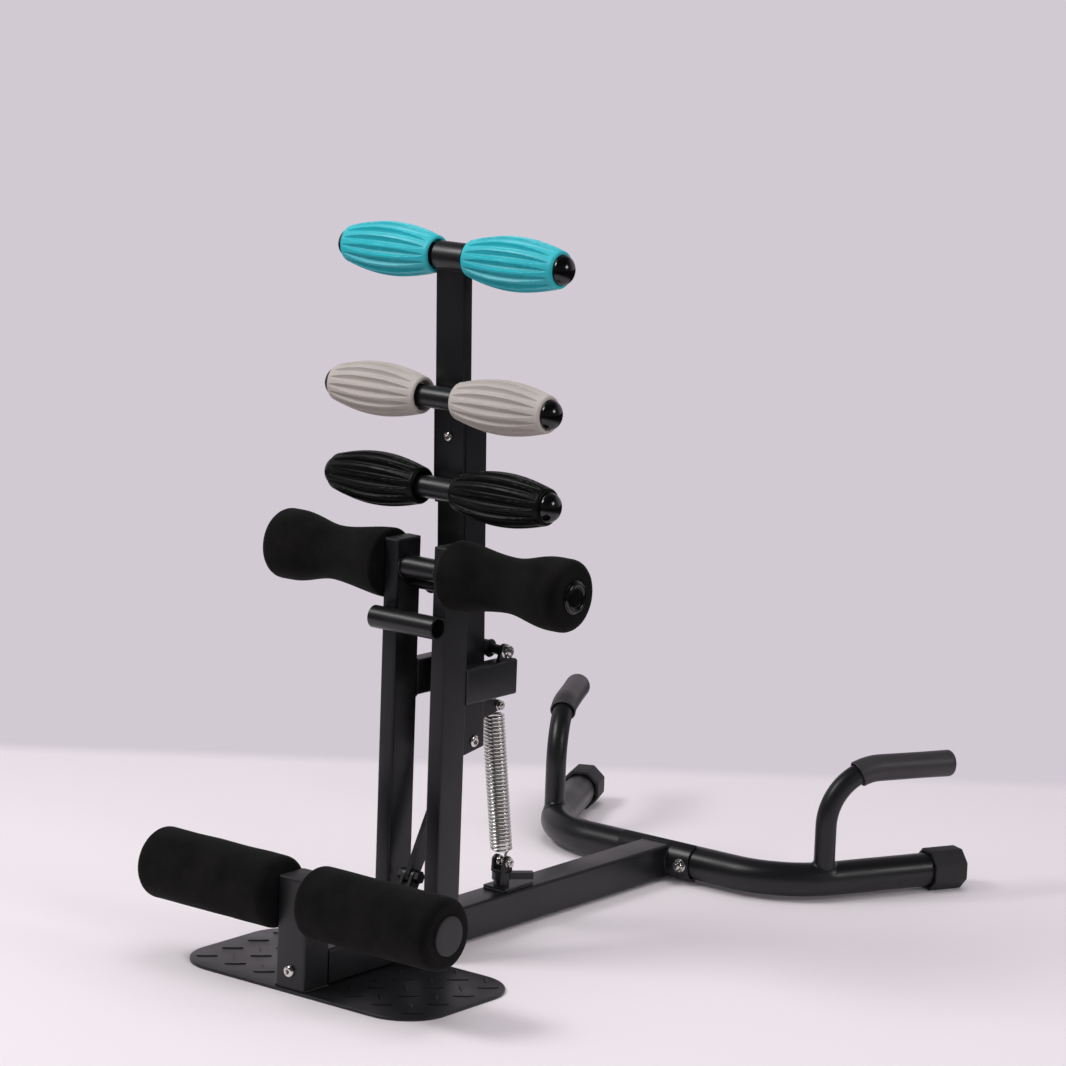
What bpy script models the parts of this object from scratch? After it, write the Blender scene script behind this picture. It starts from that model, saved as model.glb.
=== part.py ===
"""Floor-standing lean-back trainer: a tilting mast with massage rollers over a bolted steel base.

Frame: metres, +Z up, +Y to the rear, +X to the right of the person standing on the plate.
The origin is the middle of the foot plate's underside.
"""
import bpy
import bmesh
from math import atan2, cos, degrees, hypot, pi, radians, sin, sqrt, tan
from mathutils import Vector

mm = 0.001

# Fits
gap = 0.3 * mm
tube_wall = 2.0 * mm
pin_play = 0.4 * mm

# Foot plate
plate_width = 345.0 * mm
plate_depth = 191.5 * mm
plate_thickness = 3.4 * mm
plate_corner = 54.0 * mm

# Beam and front upright
beam_side = 40.0 * mm
upright_set_in = 3.6 * mm
upright_top_z = 123.2 * mm
end_plate = 5.0 * mm
front_bolt_size = 8.0 * mm

# Ankle rollers
ankle_axis_in = 12.2 * mm
ankle_axis_z = 102.7 * mm
ankle_axle_size = 20.0 * mm
ankle_foam_size = 80.0 * mm
ankle_foam_start = 22.0 * mm
ankle_foam_end = 204.5 * mm
ankle_cap_size = 43.0 * mm

# Posts, arms and cross bar
post_width = 20.0 * mm
post_depth = 40.0 * mm
post_gap = 50.0 * mm
arm_bottom_z = 284.5 * mm
arm_height = 40.0 * mm
arm_length = 87.5 * mm
cross_bar_size = 25.0 * mm
cross_bar_z = 378.3 * mm

# Knee rollers
seat_axis_in = 15.0 * mm
seat_axis_z = 433.8 * mm
post_above_axle = 27.4 * mm
seat_axle_size = 25.0 * mm
seat_foam_end = 206.0 * mm
seat_foam_size = 80.0 * mm
seat_foam_waist = 61.0 * mm
seat_plug_size = 36.0 * mm

# Mast stop between the posts
stop_rod_size = 14.0 * mm
stop_rod_in = 27.0 * mm
stop_rod_z = 415.0 * mm
buffer_size = 20.0 * mm

# Mast pivot and mast
pivot_behind_post = 70.0 * mm
pivot_above_arm = 10.5 * mm
pivot_bolt_size = 8.0 * mm
bush_size = 18.0 * mm
ear_thickness = 4.0 * mm
mast_lean = 2.2
mast_width = 40.0 * mm
mast_depth = 38.0 * mm
mast_behind = 8.2 * mm
mast_top = 284.0 * mm
mast_foot = 109.5 * mm
foot_slope = 0.12
foot_bolt_drop = 101.0 * mm
foot_bolt_size = 8.0 * mm
strap_thickness = 4.0 * mm
upper_mast_depth = 15.0 * mm

# Massage rollers and their axles
axle_size = 25.0 * mm
sleeve_size = 31.0 * mm
top_axle_up = 439.3 * mm
middle_axle_up = 286.9 * mm
lower_axle_up = 186.7 * mm
mast_screw_up = 242.8 * mm
top_roller_start = 23.5 * mm
middle_roller_start = 25.0 * mm
lower_roller_start = 25.5 * mm
roller_length = 123.0 * mm
roller_size = 60.0 * mm
roller_end_size = 39.0 * mm
roller_mouth_size = 32.0 * mm
roller_ribs = 16
flute_depth = 2.6 * mm
dome_size = 33.5 * mm
dome_height = 11.0 * mm

# Spring between the mast's lug and the anchor on the beam
lug_back = 30.0 * mm
lug_drop = 73.0 * mm
spring_bolt_size = 6.0 * mm
anchor_behind_post = 130.0 * mm
anchor_bolt_z = 76.0 * mm
spring_wire = 3.0 * mm
spring_size = 23.0 * mm
spring_turns = 37
spring_end = 12.5 * mm
anchor_post_size = 12.0 * mm
lug_thickness = 3.0 * mm
lever_length = 36.0 * mm
lever_width = 10.0 * mm
lever_height = 9.0 * mm
lever_angle = 45.0
lever_drop = 20.8 * mm

# Limit stay between the mast's foot and the beam
stay_pin_in = 10.0 * mm
stay_pin_z = 90.0 * mm
stay_bolt_size = 8.0 * mm
stay_width = 20.0 * mm
stay_thickness = 6.0 * mm
stay_travel = 12.0 * mm
slot_play = 1.3 * mm

# Rear bar, saddle, handles
bar_size = 40.0 * mm
bar_behind_post = 439.5 * mm
bar_bend_x = 105.9 * mm
bar_bend_radius = 110.0 * mm
bar_bend_angle = 63.9
bar_straight = 165.0 * mm
foot_cap_flats = 48.0 * mm
foot_cap_length = 44.0 * mm
saddle_thickness = 2.5 * mm
saddle_half_width = 53.0 * mm
saddle_wrap = 80.0
saddle_facets = 8
saddle_bolt_x = 43.0 * mm
saddle_bolt_size = 8.0 * mm
handle_size = 25.0 * mm
handle_angle = 56.2
handle_outward = 4.0 * mm
handle_heading = 61.1
handle_height = 155.5 * mm
handle_bend_radius = 67.0 * mm
handle_level_run = 91.3 * mm
grip_size = 32.0 * mm
grip_mouth_angle = 65.0
grip_end = 6.0 * mm

# Places worked out from the sizes
upright_front = -plate_depth / 2 + upright_set_in
upright_rear = upright_front + beam_side
beam_front = upright_rear + gap
beam_z = plate_thickness + gap
beam_top = beam_z + beam_side
beam_mid_z = beam_z + beam_side / 2
ankle_y = upright_front + ankle_axis_in
post_front = plate_depth / 2 + gap
post_rear = post_front + post_depth
post_mid_y = post_front + post_depth / 2
post_bottom = beam_z
post_top_z = seat_axis_z + post_above_axle
post_inner = post_gap / 2
post_outer = post_inner + post_width
arm_top = arm_bottom_z + arm_height
arm_rear = post_rear + arm_length
seat_y = post_front + seat_axis_in
stop_y = post_front + stop_rod_in
pivot_y = post_rear + pivot_behind_post
pivot_z = arm_top + pivot_above_arm
lean = radians(mast_lean)
mast_rear = -mast_behind
mast_front = mast_rear - mast_depth
mast_mid = mast_rear - mast_depth / 2
strap_front = mast_front - gap - strap_thickness
upper_rear = strap_front + upper_mast_depth
upper_mid = strap_front + upper_mast_depth / 2
axle_front = strap_front - gap - axle_size / 2
strap_bottom = lower_axle_up - axle_size / 2 - 6.0 * mm
stay_pin_y = post_front + stay_pin_in
anchor_y = post_rear + anchor_behind_post
lever_base = anchor_bolt_z - lever_drop
bar_y = post_rear + bar_behind_post
bar_z = foot_cap_flats / 2
beam_rear = bar_y


def on_mast(back, up):
    """World Y and Z of a point given behind and above the mast's pivot, along the leaning mast."""
    y = pivot_y + back * cos(lean) - up * sin(lean)
    z = pivot_z + back * sin(lean) + up * cos(lean)
    return y, z


# Scene helpers

def clear_scene():
    for thing in list(bpy.data.objects):
        bpy.data.objects.remove(thing, do_unlink=True)


def material(name, colour, roughness, metallic=0.0):
    made = bpy.data.materials.new(name)
    made.use_nodes = True
    shader = made.node_tree.nodes["Principled BSDF"]
    shader.inputs["Base Color"].default_value = (*colour, 1.0)
    shader.inputs["Roughness"].default_value = roughness
    shader.inputs["Metallic"].default_value = metallic
    made.diffuse_color = (*colour, 1.0)
    return made


def add_object(name, bm, look, parent=None, smooth=False):
    bmesh.ops.recalc_face_normals(bm, faces=bm.faces[:])
    mesh = bpy.data.meshes.new(name)
    bm.to_mesh(mesh)
    bm.free()
    if smooth:
        mesh.shade_smooth()
        mesh.set_sharp_from_angle(angle=radians(35))
    thing = bpy.data.objects.new(name, mesh)
    if look:
        mesh.materials.append(look)
    thing.parent = parent
    bpy.context.scene.collection.objects.link(thing)
    return thing


def hide_tool(thing):
    thing.hide_render = True
    thing.display_type = "WIRE"
    return thing


def cut(body, tool):
    step = body.modifiers.new("cut", "BOOLEAN")
    step.operation = "DIFFERENCE"
    step.solver = "EXACT"
    step.object = hide_tool(tool)


def weld(body, tool):
    step = body.modifiers.new("weld", "BOOLEAN")
    step.operation = "UNION"
    step.solver = "EXACT"
    step.object = hide_tool(tool)


# Shape builders. A point is given as (along, u, v), with u and v the two axes across.

def place(axis, along, u, v):
    if axis == "X":
        return Vector((along, u, v))
    if axis == "Y":
        return Vector((u, along, v))
    return Vector((u, v, along))


def rounded_box_outline(width, height, radius, centre=(0.0, 0.0), steps=2):
    """Corners of a rectangle with round corners, counter-clockwise."""
    points = []
    for turn, (su, sv) in enumerate(((1, 1), (-1, 1), (-1, -1), (1, -1))):
        cu = centre[0] + su * (width / 2 - radius)
        cv = centre[1] + sv * (height / 2 - radius)
        for step in range(steps + 1):
            angle = pi / 2 * (turn + step / steps)
            points.append((cu + radius * cos(angle), cv + radius * sin(angle)))
    return points


def prism(name, outline, start, end, axis, look=None, parent=None):
    """A closed solid: an outline pushed along an axis."""
    bm = bmesh.new()
    rings = []
    for along in (start, end):
        rings.append([bm.verts.new(place(axis, along, u, v)) for u, v in outline])
    count = len(outline)
    for k in range(count):
        n = (k + 1) % count
        bm.faces.new((rings[0][k], rings[0][n], rings[1][n], rings[1][k]))
    bm.faces.new(rings[0])
    bm.faces.new(rings[1])
    return add_object(name, bm, look, parent)


def tube_prism(name, outer, inner, start, end, axis, look, parent=None):
    """An open tube between two outlines with the same number of points."""
    bm = bmesh.new()
    loops = []
    for outline in (outer, inner):
        for along in (start, end):
            loops.append([bm.verts.new(place(axis, along, u, v)) for u, v in outline])
    outer_start, outer_end, inner_start, inner_end = loops
    count = len(outer)
    for k in range(count):
        n = (k + 1) % count
        bm.faces.new((outer_start[k], outer_start[n], outer_end[n], outer_end[k]))
        bm.faces.new((inner_start[k], inner_start[n], inner_end[n], inner_end[k]))
        bm.faces.new((outer_start[k], outer_start[n], inner_start[n], inner_start[k]))
        bm.faces.new((outer_end[k], outer_end[n], inner_end[n], inner_end[k]))
    return add_object(name, bm, look, parent)


def box_tube(name, width, height, centre, start, end, axis, look, parent=None, corner=3.0 * mm):
    outer = rounded_box_outline(width, height, corner, centre)
    bore = rounded_box_outline(width - 2 * tube_wall, height - 2 * tube_wall, corner - tube_wall / 2, centre)
    return tube_prism(name, outer, bore, start, end, axis, look, parent)


def box(name, low, high, look=None, parent=None):
    outline = [(low[0], low[1]), (high[0], low[1]), (high[0], high[1]), (low[0], high[1])]
    return prism(name, outline, low[2], high[2], "Z", look, parent)


def turned(name, stations, centre, axis, look=None, parent=None, count=20, ring=False, smooth=True):
    """A turned body: stations are (along, radius), where a radius may depend on the angle.

    A ring's stations run out along the outside and back along the bore.
    """
    bm = bmesh.new()
    rings = []
    for along, radius in stations:
        loop = []
        for k in range(count):
            angle = 2 * pi * k / count
            reach = radius(angle) if callable(radius) else radius
            u = centre[0] + reach * cos(angle)
            v = centre[1] + reach * sin(angle)
            loop.append(bm.verts.new(place(axis, along, u, v)))
        rings.append(loop)
    pairs = list(zip(rings, rings[1:]))
    if ring:
        pairs.append((rings[-1], rings[0]))
    for first, second in pairs:
        for k in range(count):
            n = (k + 1) % count
            bm.faces.new((first[k], first[n], second[n], second[k]))
    if not ring:
        bm.faces.new(rings[0])
        bm.faces.new(rings[-1])
    return add_object(name, bm, look, parent, smooth)


def hexagon(flats):
    """Radius of a hexagon at an angle, with its corners at whole sixths of a turn."""
    return lambda angle: flats / 2 / cos(angle % (pi / 3) - pi / 6)


def polygon(flats, sides):
    """Radius of a regular polygon that stands on a flat, at an angle."""
    step = 2 * pi / sides
    return lambda angle: flats / 2 / cos((angle + step / 2) % step - step / 2)


def rod_tool(name, size, centre, start, end, axis, parent=None, count=12):
    return turned(name, [(start, size / 2), (end, size / 2)], centre, axis, None, parent, count)


def bolt(name, size, centre, axis, head_face, nut_face, look, parent=None, dome=False, thread=2.5 * mm,
         thin=1.0):
    """A bolt with its nut. The head lies outside head_face and the nut outside nut_face."""
    way = 1 if nut_face > head_face else -1
    head = size * 0.62 * thin
    nut = size * 0.8 * thin
    seat = head_face - way * gap
    base = nut_face + way * gap
    if dome:
        stations = [(seat - way * head, size * 0.34), (seat - way * head * 0.72, size * 0.66), (seat, size * 0.86)]
    else:
        stations = [(seat - way * head, hexagon(size * 1.6)), (seat, hexagon(size * 1.6))]
    stations += [
        (seat, size / 2), (base, size / 2), (base, hexagon(size * 1.6)), (base + way * nut, hexagon(size * 1.6)),
        (base + way * nut, size * 0.46), (base + way * (nut + thread), size * 0.4),
    ]
    return turned(name, stations, centre, axis, look, parent, 12 if dome else 6, smooth=False)


def round_bar(name, route, size, look=None, parent=None, sides=2):
    """A round bar along a route, as a curve with a bevel and filled ends."""
    curve = bpy.data.curves.new(name, "CURVE")
    curve.dimensions = "3D"
    curve.bevel_depth = size / 2
    curve.bevel_resolution = sides
    curve.use_fill_caps = True
    curve.render_resolution_u = 0
    spline = curve.splines.new("POLY")
    spline.points.add(len(route) - 1)
    for point, where in zip(spline.points, route):
        point.co = (*where, 1.0)
    if look:
        curve.materials.append(look)
    thing = bpy.data.objects.new(name, curve)
    thing.parent = parent
    bpy.context.scene.collection.objects.link(thing)
    return thing


def as_mesh(thing):
    """The same object as a mesh, so that it can be cut and welded."""
    graph = bpy.context.evaluated_depsgraph_get()
    graph.update()
    mesh = bpy.data.meshes.new_from_object(thing.evaluated_get(graph))
    made = bpy.data.objects.new(thing.name, mesh)
    made.parent = thing.parent
    name = thing.name
    bpy.data.objects.remove(thing, do_unlink=True)
    made.name = name
    bpy.context.scene.collection.objects.link(made)
    return made


# Materials
clear_scene()
black_coat = material("black_coat", (0.012, 0.012, 0.013), 0.42)
black_foam = material("black_foam", (0.010, 0.010, 0.010), 0.95)
black_rubber = material("black_rubber", (0.016, 0.016, 0.017), 0.7)
gloss_black = material("gloss_black", (0.006, 0.006, 0.007), 0.12)
cyan_plastic = material("cyan_plastic", (0.012, 0.40, 0.50), 0.42)
grey_plastic = material("grey_plastic", (0.46, 0.43, 0.39), 0.55)
black_plastic = material("black_plastic", (0.010, 0.010, 0.011), 0.35)
zinc = material("zinc", (0.62, 0.62, 0.60), 0.32, 1.0)
pale_rubber = material("pale_rubber", (0.35, 0.34, 0.33), 0.8)


def axis_empty(name, location, turn_x=0.0):
    thing = bpy.data.objects.new(name, None)
    thing.location = location
    thing.rotation_euler = (turn_x, 0.0, 0.0)
    bpy.context.scene.collection.objects.link(thing)
    return thing


# Foot plate, beam and front upright

def foot_plate():
    outline = rounded_box_outline(plate_width, plate_depth, plate_corner, steps=6)
    return prism("foot_plate", outline, 0.0, plate_thickness, "Z", black_coat)


def base_beam():
    beam = box_tube("base_beam", beam_side, beam_side, (0.0, beam_mid_z), beam_front, beam_rear, "Y", black_coat)
    inner = beam_side / 2 - tube_wall * 0.75
    end = box("beam_end_plate", (-inner, beam_front, beam_mid_z - inner),
              (inner, beam_front + end_plate, beam_mid_z + inner))
    weld(beam, end)
    count = 24
    saddle_reach = (saddle_bore() + saddle_thickness + gap) / cos(pi / count)
    cut(beam, rod_tool("beam_saddle_cope", 2 * saddle_reach, (bar_y, bar_z), -beam_side, beam_side, "X",
                       count=count))
    behind = box("beam_rear_trim", (-beam_side, bar_y, -beam_side), (beam_side, bar_y + beam_side, 2 * beam_side))
    cut(beam, behind)
    cut(beam, rod_tool("beam_front_hole", front_bolt_size + pin_play, (0.0, beam_mid_z),
                       beam_front - gap, beam_front + 2 * end_plate, "Y"))
    return beam


def front_upright():
    upright = box_tube("front_upright", beam_side, beam_side, (0.0, upright_front + beam_side / 2),
                       beam_z, upright_top_z, "Z", black_coat)
    cut(upright, rod_tool("upright_bolt_hole", front_bolt_size + pin_play, (0.0, beam_mid_z),
                          upright_front - beam_side, upright_rear + beam_side, "Y"))
    cut(upright, rod_tool("upright_axle_hole", ankle_axle_size + 2 * gap, (ankle_y, ankle_axis_z),
                          -beam_side, beam_side, "X", count=16))
    return upright


def plug_cap(name, width, depth, centre, top, thickness=2.5 * mm, spigot=9.0 * mm):
    """A moulded cap on an upright tube's open end, with a spigot inside the tube."""
    outline = rounded_box_outline(width, depth, 3.0 * mm, centre)
    cap = prism(name, outline, top + gap, top + gap + thickness, "Z", black_rubber)
    inner = rounded_box_outline(width - 2 * tube_wall - 2 * gap, depth - 2 * tube_wall - 2 * gap, 1.5 * mm, centre)
    weld(cap, prism(name + "_spigot", inner, top - spigot, top + 2 * gap, "Z"))
    return cap


def front_bolt():
    return bolt("front_bolt", front_bolt_size, (0.0, beam_mid_z), "Y", upright_front,
                beam_front + end_plate, zinc, dome=True)


# Foam rollers, their axles and end plugs

def axle_tube(name, size, centre, half_length, look, parent=None, wall=tube_wall):
    stations = [
        (-half_length, size / 2), (half_length, size / 2),
        (half_length, size / 2 - wall), (-half_length, size / 2 - wall),
    ]
    return turned(name, stations, centre, "X", look, parent, count=16, ring=True)


def mirrored(stations, side):
    return [(side * along, radius) for along, radius in stations]


def ankle_foam(name, side):
    outer = ankle_foam_size / 2
    round_off = 9.0 * mm
    stations = []
    for k in range(3):
        angle = pi / 2 * k / 2
        stations.append((ankle_foam_start + round_off * (1 - sin(angle)), outer - round_off * (1 - cos(angle))))
    stations.reverse()
    for k in range(3):
        angle = pi / 2 * k / 2
        stations.append((ankle_foam_end - round_off * (1 - sin(angle)), outer - round_off * (1 - cos(angle))))
    ends = sorted(stations)
    bore = ankle_axle_size / 2 + gap
    loop = ends + [(ankle_foam_end, bore), (ankle_foam_start, bore)]
    return turned(name, mirrored(loop, side), (ankle_y, ankle_axis_z), "X", black_foam, count=24, ring=True)


def ankle_cap(name, side):
    start = ankle_foam_end + gap
    spigot = ankle_axle_size / 2 - tube_wall - gap
    stations = [
        (start - 16.0 * mm, spigot), (start, spigot), (start, ankle_cap_size / 2),
        (start + 1.6 * mm, ankle_cap_size / 2), (start + 2.6 * mm, ankle_cap_size / 2 - 1.5 * mm),
    ]
    return turned(name, mirrored(stations, side), (ankle_y, ankle_axis_z), "X", black_rubber, count=16)


def seat_foam_radius(share):
    """Half the size of the waisted foam: 0 at the post, 1 at the outer end."""
    full = seat_foam_size / 2
    waist = seat_foam_waist / 2
    waist_at = 0.48
    shoulder = 0.86
    if share < waist_at:
        blend = cos(pi / 2 * share / waist_at) ** 2
        return waist + (full * 0.97 - waist) * blend
    blend = sin(pi / 2 * min(1.0, (share - waist_at) / (shoulder - waist_at))) ** 2
    return waist + (full - waist) * blend


def seat_foam(name, side):
    start = post_outer + gap
    length = seat_foam_end - start
    round_off = 11.0 * mm
    bore = seat_axle_size / 2 + gap
    loop = [(start, bore), (start, seat_foam_radius(0.0) - 3.0 * mm)]
    steps = 7
    for k in range(steps + 1):
        share = 0.02 + 0.87 * k / steps
        loop.append((start + length * share, seat_foam_radius(share)))
    for k in range(1, 4):
        angle = pi / 2 * k / 3
        loop.append((seat_foam_end - round_off * (1 - sin(angle)),
                     seat_foam_size / 2 - round_off * (1 - cos(angle))))
    loop.append((seat_foam_end, bore))
    return turned(name, mirrored(loop, side), (seat_y, seat_axis_z), "X", black_foam, count=24, ring=True)


def seat_plug(name, side):
    start = seat_foam_end + gap
    spigot = seat_axle_size / 2 - tube_wall - gap
    rim = seat_plug_size / 2
    stations = [
        (start - 16.0 * mm, spigot), (start, spigot), (start, rim), (start + 2.5 * mm, rim),
        (start + 4.2 * mm, rim - 2.0 * mm),
    ]
    return turned(name, mirrored(stations, side), (seat_y, seat_axis_z), "X", gloss_black)


# Posts with their arms and pivot ears

def post(name, side):
    mid_x = side * (post_inner + post_width / 2)
    body = box_tube(name, post_width, post_depth, (mid_x, post_mid_y), post_bottom, post_top_z, "Z", black_coat)
    arm = box_tube(name + "_arm", post_width, arm_height, (mid_x, arm_bottom_z + arm_height / 2),
                   post_rear - tube_wall / 2, arm_rear, "Y", None)
    weld(body, arm)
    pad_face = beam_side / 2 + gap
    pad_x = sorted((side * pad_face, side * (post_inner + tube_wall / 2)))
    pad = box(name + "_pad", (pad_x[0], post_front + 2.0 * mm, post_bottom),
              (pad_x[1], post_rear - 2.0 * mm, beam_top - 2.0 * mm))
    weld(body, pad)
    ear_x = sorted((side * ear_place(), side * (ear_place() + ear_thickness)))
    ear = pivot_ear_outline()
    weld(body, prism(name + "_ear", ear, ear_x[0], ear_x[1], "X"))
    boss = turned(name + "_boss", [(side * (mast_width / 2 + 2.0 * mm + gap), pivot_bolt_size * 0.7),
                                   (side * (ear_place() + ear_thickness / 2), pivot_bolt_size * 0.7)],
                  (pivot_y, pivot_z), "X", None, count=12)
    weld(body, boss)
    holes = ((pivot_bolt_size + pin_play, pivot_y, pivot_z), (seat_axle_size + 2 * gap, seat_y, seat_axis_z))
    for number, (size, y, z) in enumerate(holes):
        ends = sorted((side * (beam_side / 2 - 2.0 * mm), side * (post_outer + 5.0 * mm)))
        cut(body, rod_tool(f"{name}_hole_{number}", size, (y, z), ends[0], ends[1], "X", count=16))
    return body


def ear_place():
    return post_inner + post_width - ear_thickness - 3.0 * mm


def pivot_ear_outline():
    """The ear's outline in Y and Z: a foot in the arm's top wall and a round head at the pivot."""
    radius = pivot_bolt_size
    points = [(pivot_y - radius * 1.4, arm_top - tube_wall / 2), (pivot_y + radius * 1.4, arm_top - tube_wall / 2)]
    for k in range(9):
        angle = pi * k / 8
        points.append((pivot_y + radius * cos(angle), pivot_z + radius * sin(angle)))
    return points


def cross_bar():
    size = cross_bar_size
    y = post_front - gap - size / 2
    return axle_tube("cross_bar", size, (y, cross_bar_z), post_outer, black_coat)


def stop_rod():
    """The rod between the posts, with the flat boss that the buffer sits on."""
    half = post_inner - gap
    rod = turned("stop_rod", [(-half, stop_rod_size / 2), (half, stop_rod_size / 2)],
                 (stop_y, stop_rod_z), "X", black_coat, count=16)
    boss = rod_tool("stop_boss", buffer_size, (0.0, stop_rod_z), stop_y, stop_y + stop_rod_size / 2 + 1.5 * mm,
                    "Y", count=20)
    weld(rod, boss)
    return rod


def stop_buffer():
    """The rubber buffer, cut to the mast's lean so that the mast rests flat on it."""
    start = stop_y + stop_rod_size / 2 + 1.5 * mm + gap
    buffer = turned("stop_buffer", [(start, buffer_size / 2 + 1.0 * mm),
                                    (start + 60.0 * mm, buffer_size / 2 + 1.0 * mm)],
                    (0.0, stop_rod_z), "Y", pale_rubber, count=20)
    reach = 60.0 * mm
    corners = [on_mast(mast_front - gap, stop_rod_z - pivot_z - reach),
               on_mast(mast_front - gap + 2 * reach, stop_rod_z - pivot_z - reach),
               on_mast(mast_front - gap + 2 * reach, stop_rod_z - pivot_z + reach),
               on_mast(mast_front - gap, stop_rod_z - pivot_z + reach)]
    cut(buffer, prism("buffer_face", corners, -reach, reach, "X"))
    return buffer


# Mast

def lower_mast(mast):
    body = box_tube("lower_mast", mast_width, mast_depth, (0.0, mast_mid), -mast_foot - 20.0 * mm, mast_top,
                    "Z", black_coat, mast)
    low = -mast_foot - 60.0 * mm
    rear_z = -mast_foot
    front_z = -mast_foot - foot_slope * mast_depth
    past = 10.0 * mm
    slope = foot_slope * past
    foot = [(mast_rear + past, low), (mast_rear + past, rear_z + slope),
            (mast_front - past, front_z - slope), (mast_front - past, low)]
    cut(body, prism("foot_trim", foot, -mast_width, mast_width, "X", None, mast))
    bush = turned("mast_bush", [(-mast_width / 2 - 2.0 * mm, bush_size / 2), (mast_width / 2 + 2.0 * mm, bush_size / 2)],
                  (0.0, 0.0), "X", None, mast, count=20)
    weld(body, bush)
    lug = [(mast_rear - tube_wall / 2, -lug_drop + 16.0 * mm), (mast_rear - tube_wall / 2, -lug_drop - 12.0 * mm)]
    radius = spring_bolt_size
    for k in range(9):
        angle = -pi / 2 + pi * k / 8
        lug.append((lug_back + radius * cos(angle), -lug_drop + radius * sin(angle)))
    for number, side in enumerate((-1, 1)):
        ends = sorted((side * lug_place(), side * (lug_place() + lug_thickness)))
        weld(body, prism(f"spring_lug_{number}", lug, ends[0], ends[1], "X", None, mast))
    reach = mast_width
    for number, (size, back, up) in enumerate((
            (pivot_bolt_size, 0.0, 0.0), (spring_bolt_size, lug_back, -lug_drop),
            (foot_bolt_size, mast_mid, -foot_bolt_drop))):
        cut(body, rod_tool(f"mast_hole_{number}", size + pin_play, (back, up), -reach, reach, "X", mast))
    cut(body, rod_tool("mast_screw_hole", 6.0 * mm + pin_play, (0.0, mast_screw_up), mast_front - 5.0 * mm,
                       mast_front + 8.0 * mm, "Y", mast))
    notch = stay_thickness / 2 + 1.5 * mm
    cut(body, box("stay_notch", (-notch, mast_front - 2.0 * mm, -foot_bolt_drop - 40.0 * mm),
                  (notch, mast_front + tube_wall + 1.0 * mm, -foot_bolt_drop + 4.0 * mm), None, mast))
    return body


def lug_place():
    return spring_wire / 2 + 4.5 * mm


def upper_mast(mast):
    """The flat upper tube, its strap down the front of the lower mast, and the sleeve across its top."""
    tube_bottom = mast_top + gap
    tube_top = top_axle_up - sleeve_size / 2 + 3.0 * mm
    body = box_tube("upper_mast", mast_width, upper_mast_depth, (0.0, upper_mid), tube_bottom, tube_top,
                    "Z", black_coat, mast, corner=2.5 * mm)
    strap = box("mast_strap", (-mast_width / 2 + 0.5 * mm, strap_front, strap_bottom),
                (mast_width / 2 - 0.5 * mm, strap_front + strap_thickness, tube_bottom + 6.0 * mm), None, mast)
    weld(body, strap)
    half = mast_width / 2
    sleeve = turned("mast_sleeve", [(-half, sleeve_size / 2), (half, sleeve_size / 2)],
                    (upper_mid, top_axle_up), "X", None, mast)
    weld(body, sleeve)
    bore = axle_size + 2 * gap
    cut(body, rod_tool("sleeve_bore", bore, (upper_mid, top_axle_up), -mast_width, mast_width, "X", mast, count=24))
    cut(body, rod_tool("strap_screw_hole", 6.0 * mm + pin_play, (0.0, mast_screw_up), strap_front - 5.0 * mm,
                       strap_front + strap_thickness + 1.0 * mm, "Y", mast))
    return body


def mast_screw(mast):
    """The pan-head screw that fixes the strap to the lower mast."""
    face = strap_front - gap
    stations = [
        (face - 3.4 * mm, 3.4 * mm), (face - 2.2 * mm, 5.2 * mm), (face, 5.6 * mm), (face, 3.0 * mm),
        (mast_front + tube_wall + 6.0 * mm, 3.0 * mm),
    ]
    return turned("mast_screw", stations, (0.0, mast_screw_up), "Y", zinc, mast, count=16)


def fluted_roller(name, side, centre, start, look, mast):
    """A barrel roller whose flutes are deepest at the middle and fade out at both ends."""
    bm = bmesh.new()
    count = roller_ribs * 2
    steps = 5
    end = roller_end_size / 2
    crown = roller_size / 2
    bore = axle_size / 2 + gap
    mouth = roller_mouth_size / 2
    outside = [(0.0, mouth), (0.0, end - 2.0 * mm)]
    for k in range(steps + 1):
        share = 0.04 + 0.92 * k / steps
        outside.append((share, end + (crown - end) * sin(pi * share) ** 0.85))
    outside += [(1.0, end - 2.0 * mm), (1.0, bore)]
    inside = [(0.08, bore)]
    rings = []
    for share, radius in outside + inside:
        fade = max(0.0, sin(pi * (share - 0.05) / 0.9)) ** 0.5 if 0.05 < share < 0.95 else 0.0
        loop = []
        for k in range(count):
            angle = 2 * pi * k / count
            in_groove = k % 2 == 0 and radius > mouth
            reach = radius - (flute_depth * fade if in_groove else 0.0)
            x = side * (start + roller_length * share)
            loop.append(bm.verts.new((x, centre[0] + reach * cos(angle), centre[1] + reach * sin(angle))))
        rings.append(loop)
    for first, second in zip(rings, rings[1:] + rings[:1]):
        for k in range(count):
            n = (k + 1) % count
            bm.faces.new((first[k], first[n], second[n], second[k]))
    return add_object(name, bm, look, mast)


def dome_cap(name, side, centre, roller_start, mast):
    """The glossy dome on an axle's end, with its spigot in the axle."""
    start = roller_start + roller_length + gap
    spigot = axle_size / 2 - tube_wall - gap
    rim = dome_size / 2
    stations = [(start - 18.0 * mm, spigot), (start, spigot), (start, rim)]
    for k in range(3):
        angle = radians(37.5 * k)
        stations.append((start + 1.5 * mm + dome_height * sin(angle), rim * cos(angle)))
    return turned(name, mirrored(stations, side), centre, "X", gloss_black, mast, count=16)


# Limit stay

def stay_angle():
    """Lean of the stay from upright, rearward, and its pin-to-pin length at rest."""
    y, z = on_mast(mast_mid, -foot_bolt_drop)
    return atan2(y - stay_pin_y, z - stay_pin_z), hypot(y - stay_pin_y, z - stay_pin_z)


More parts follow.
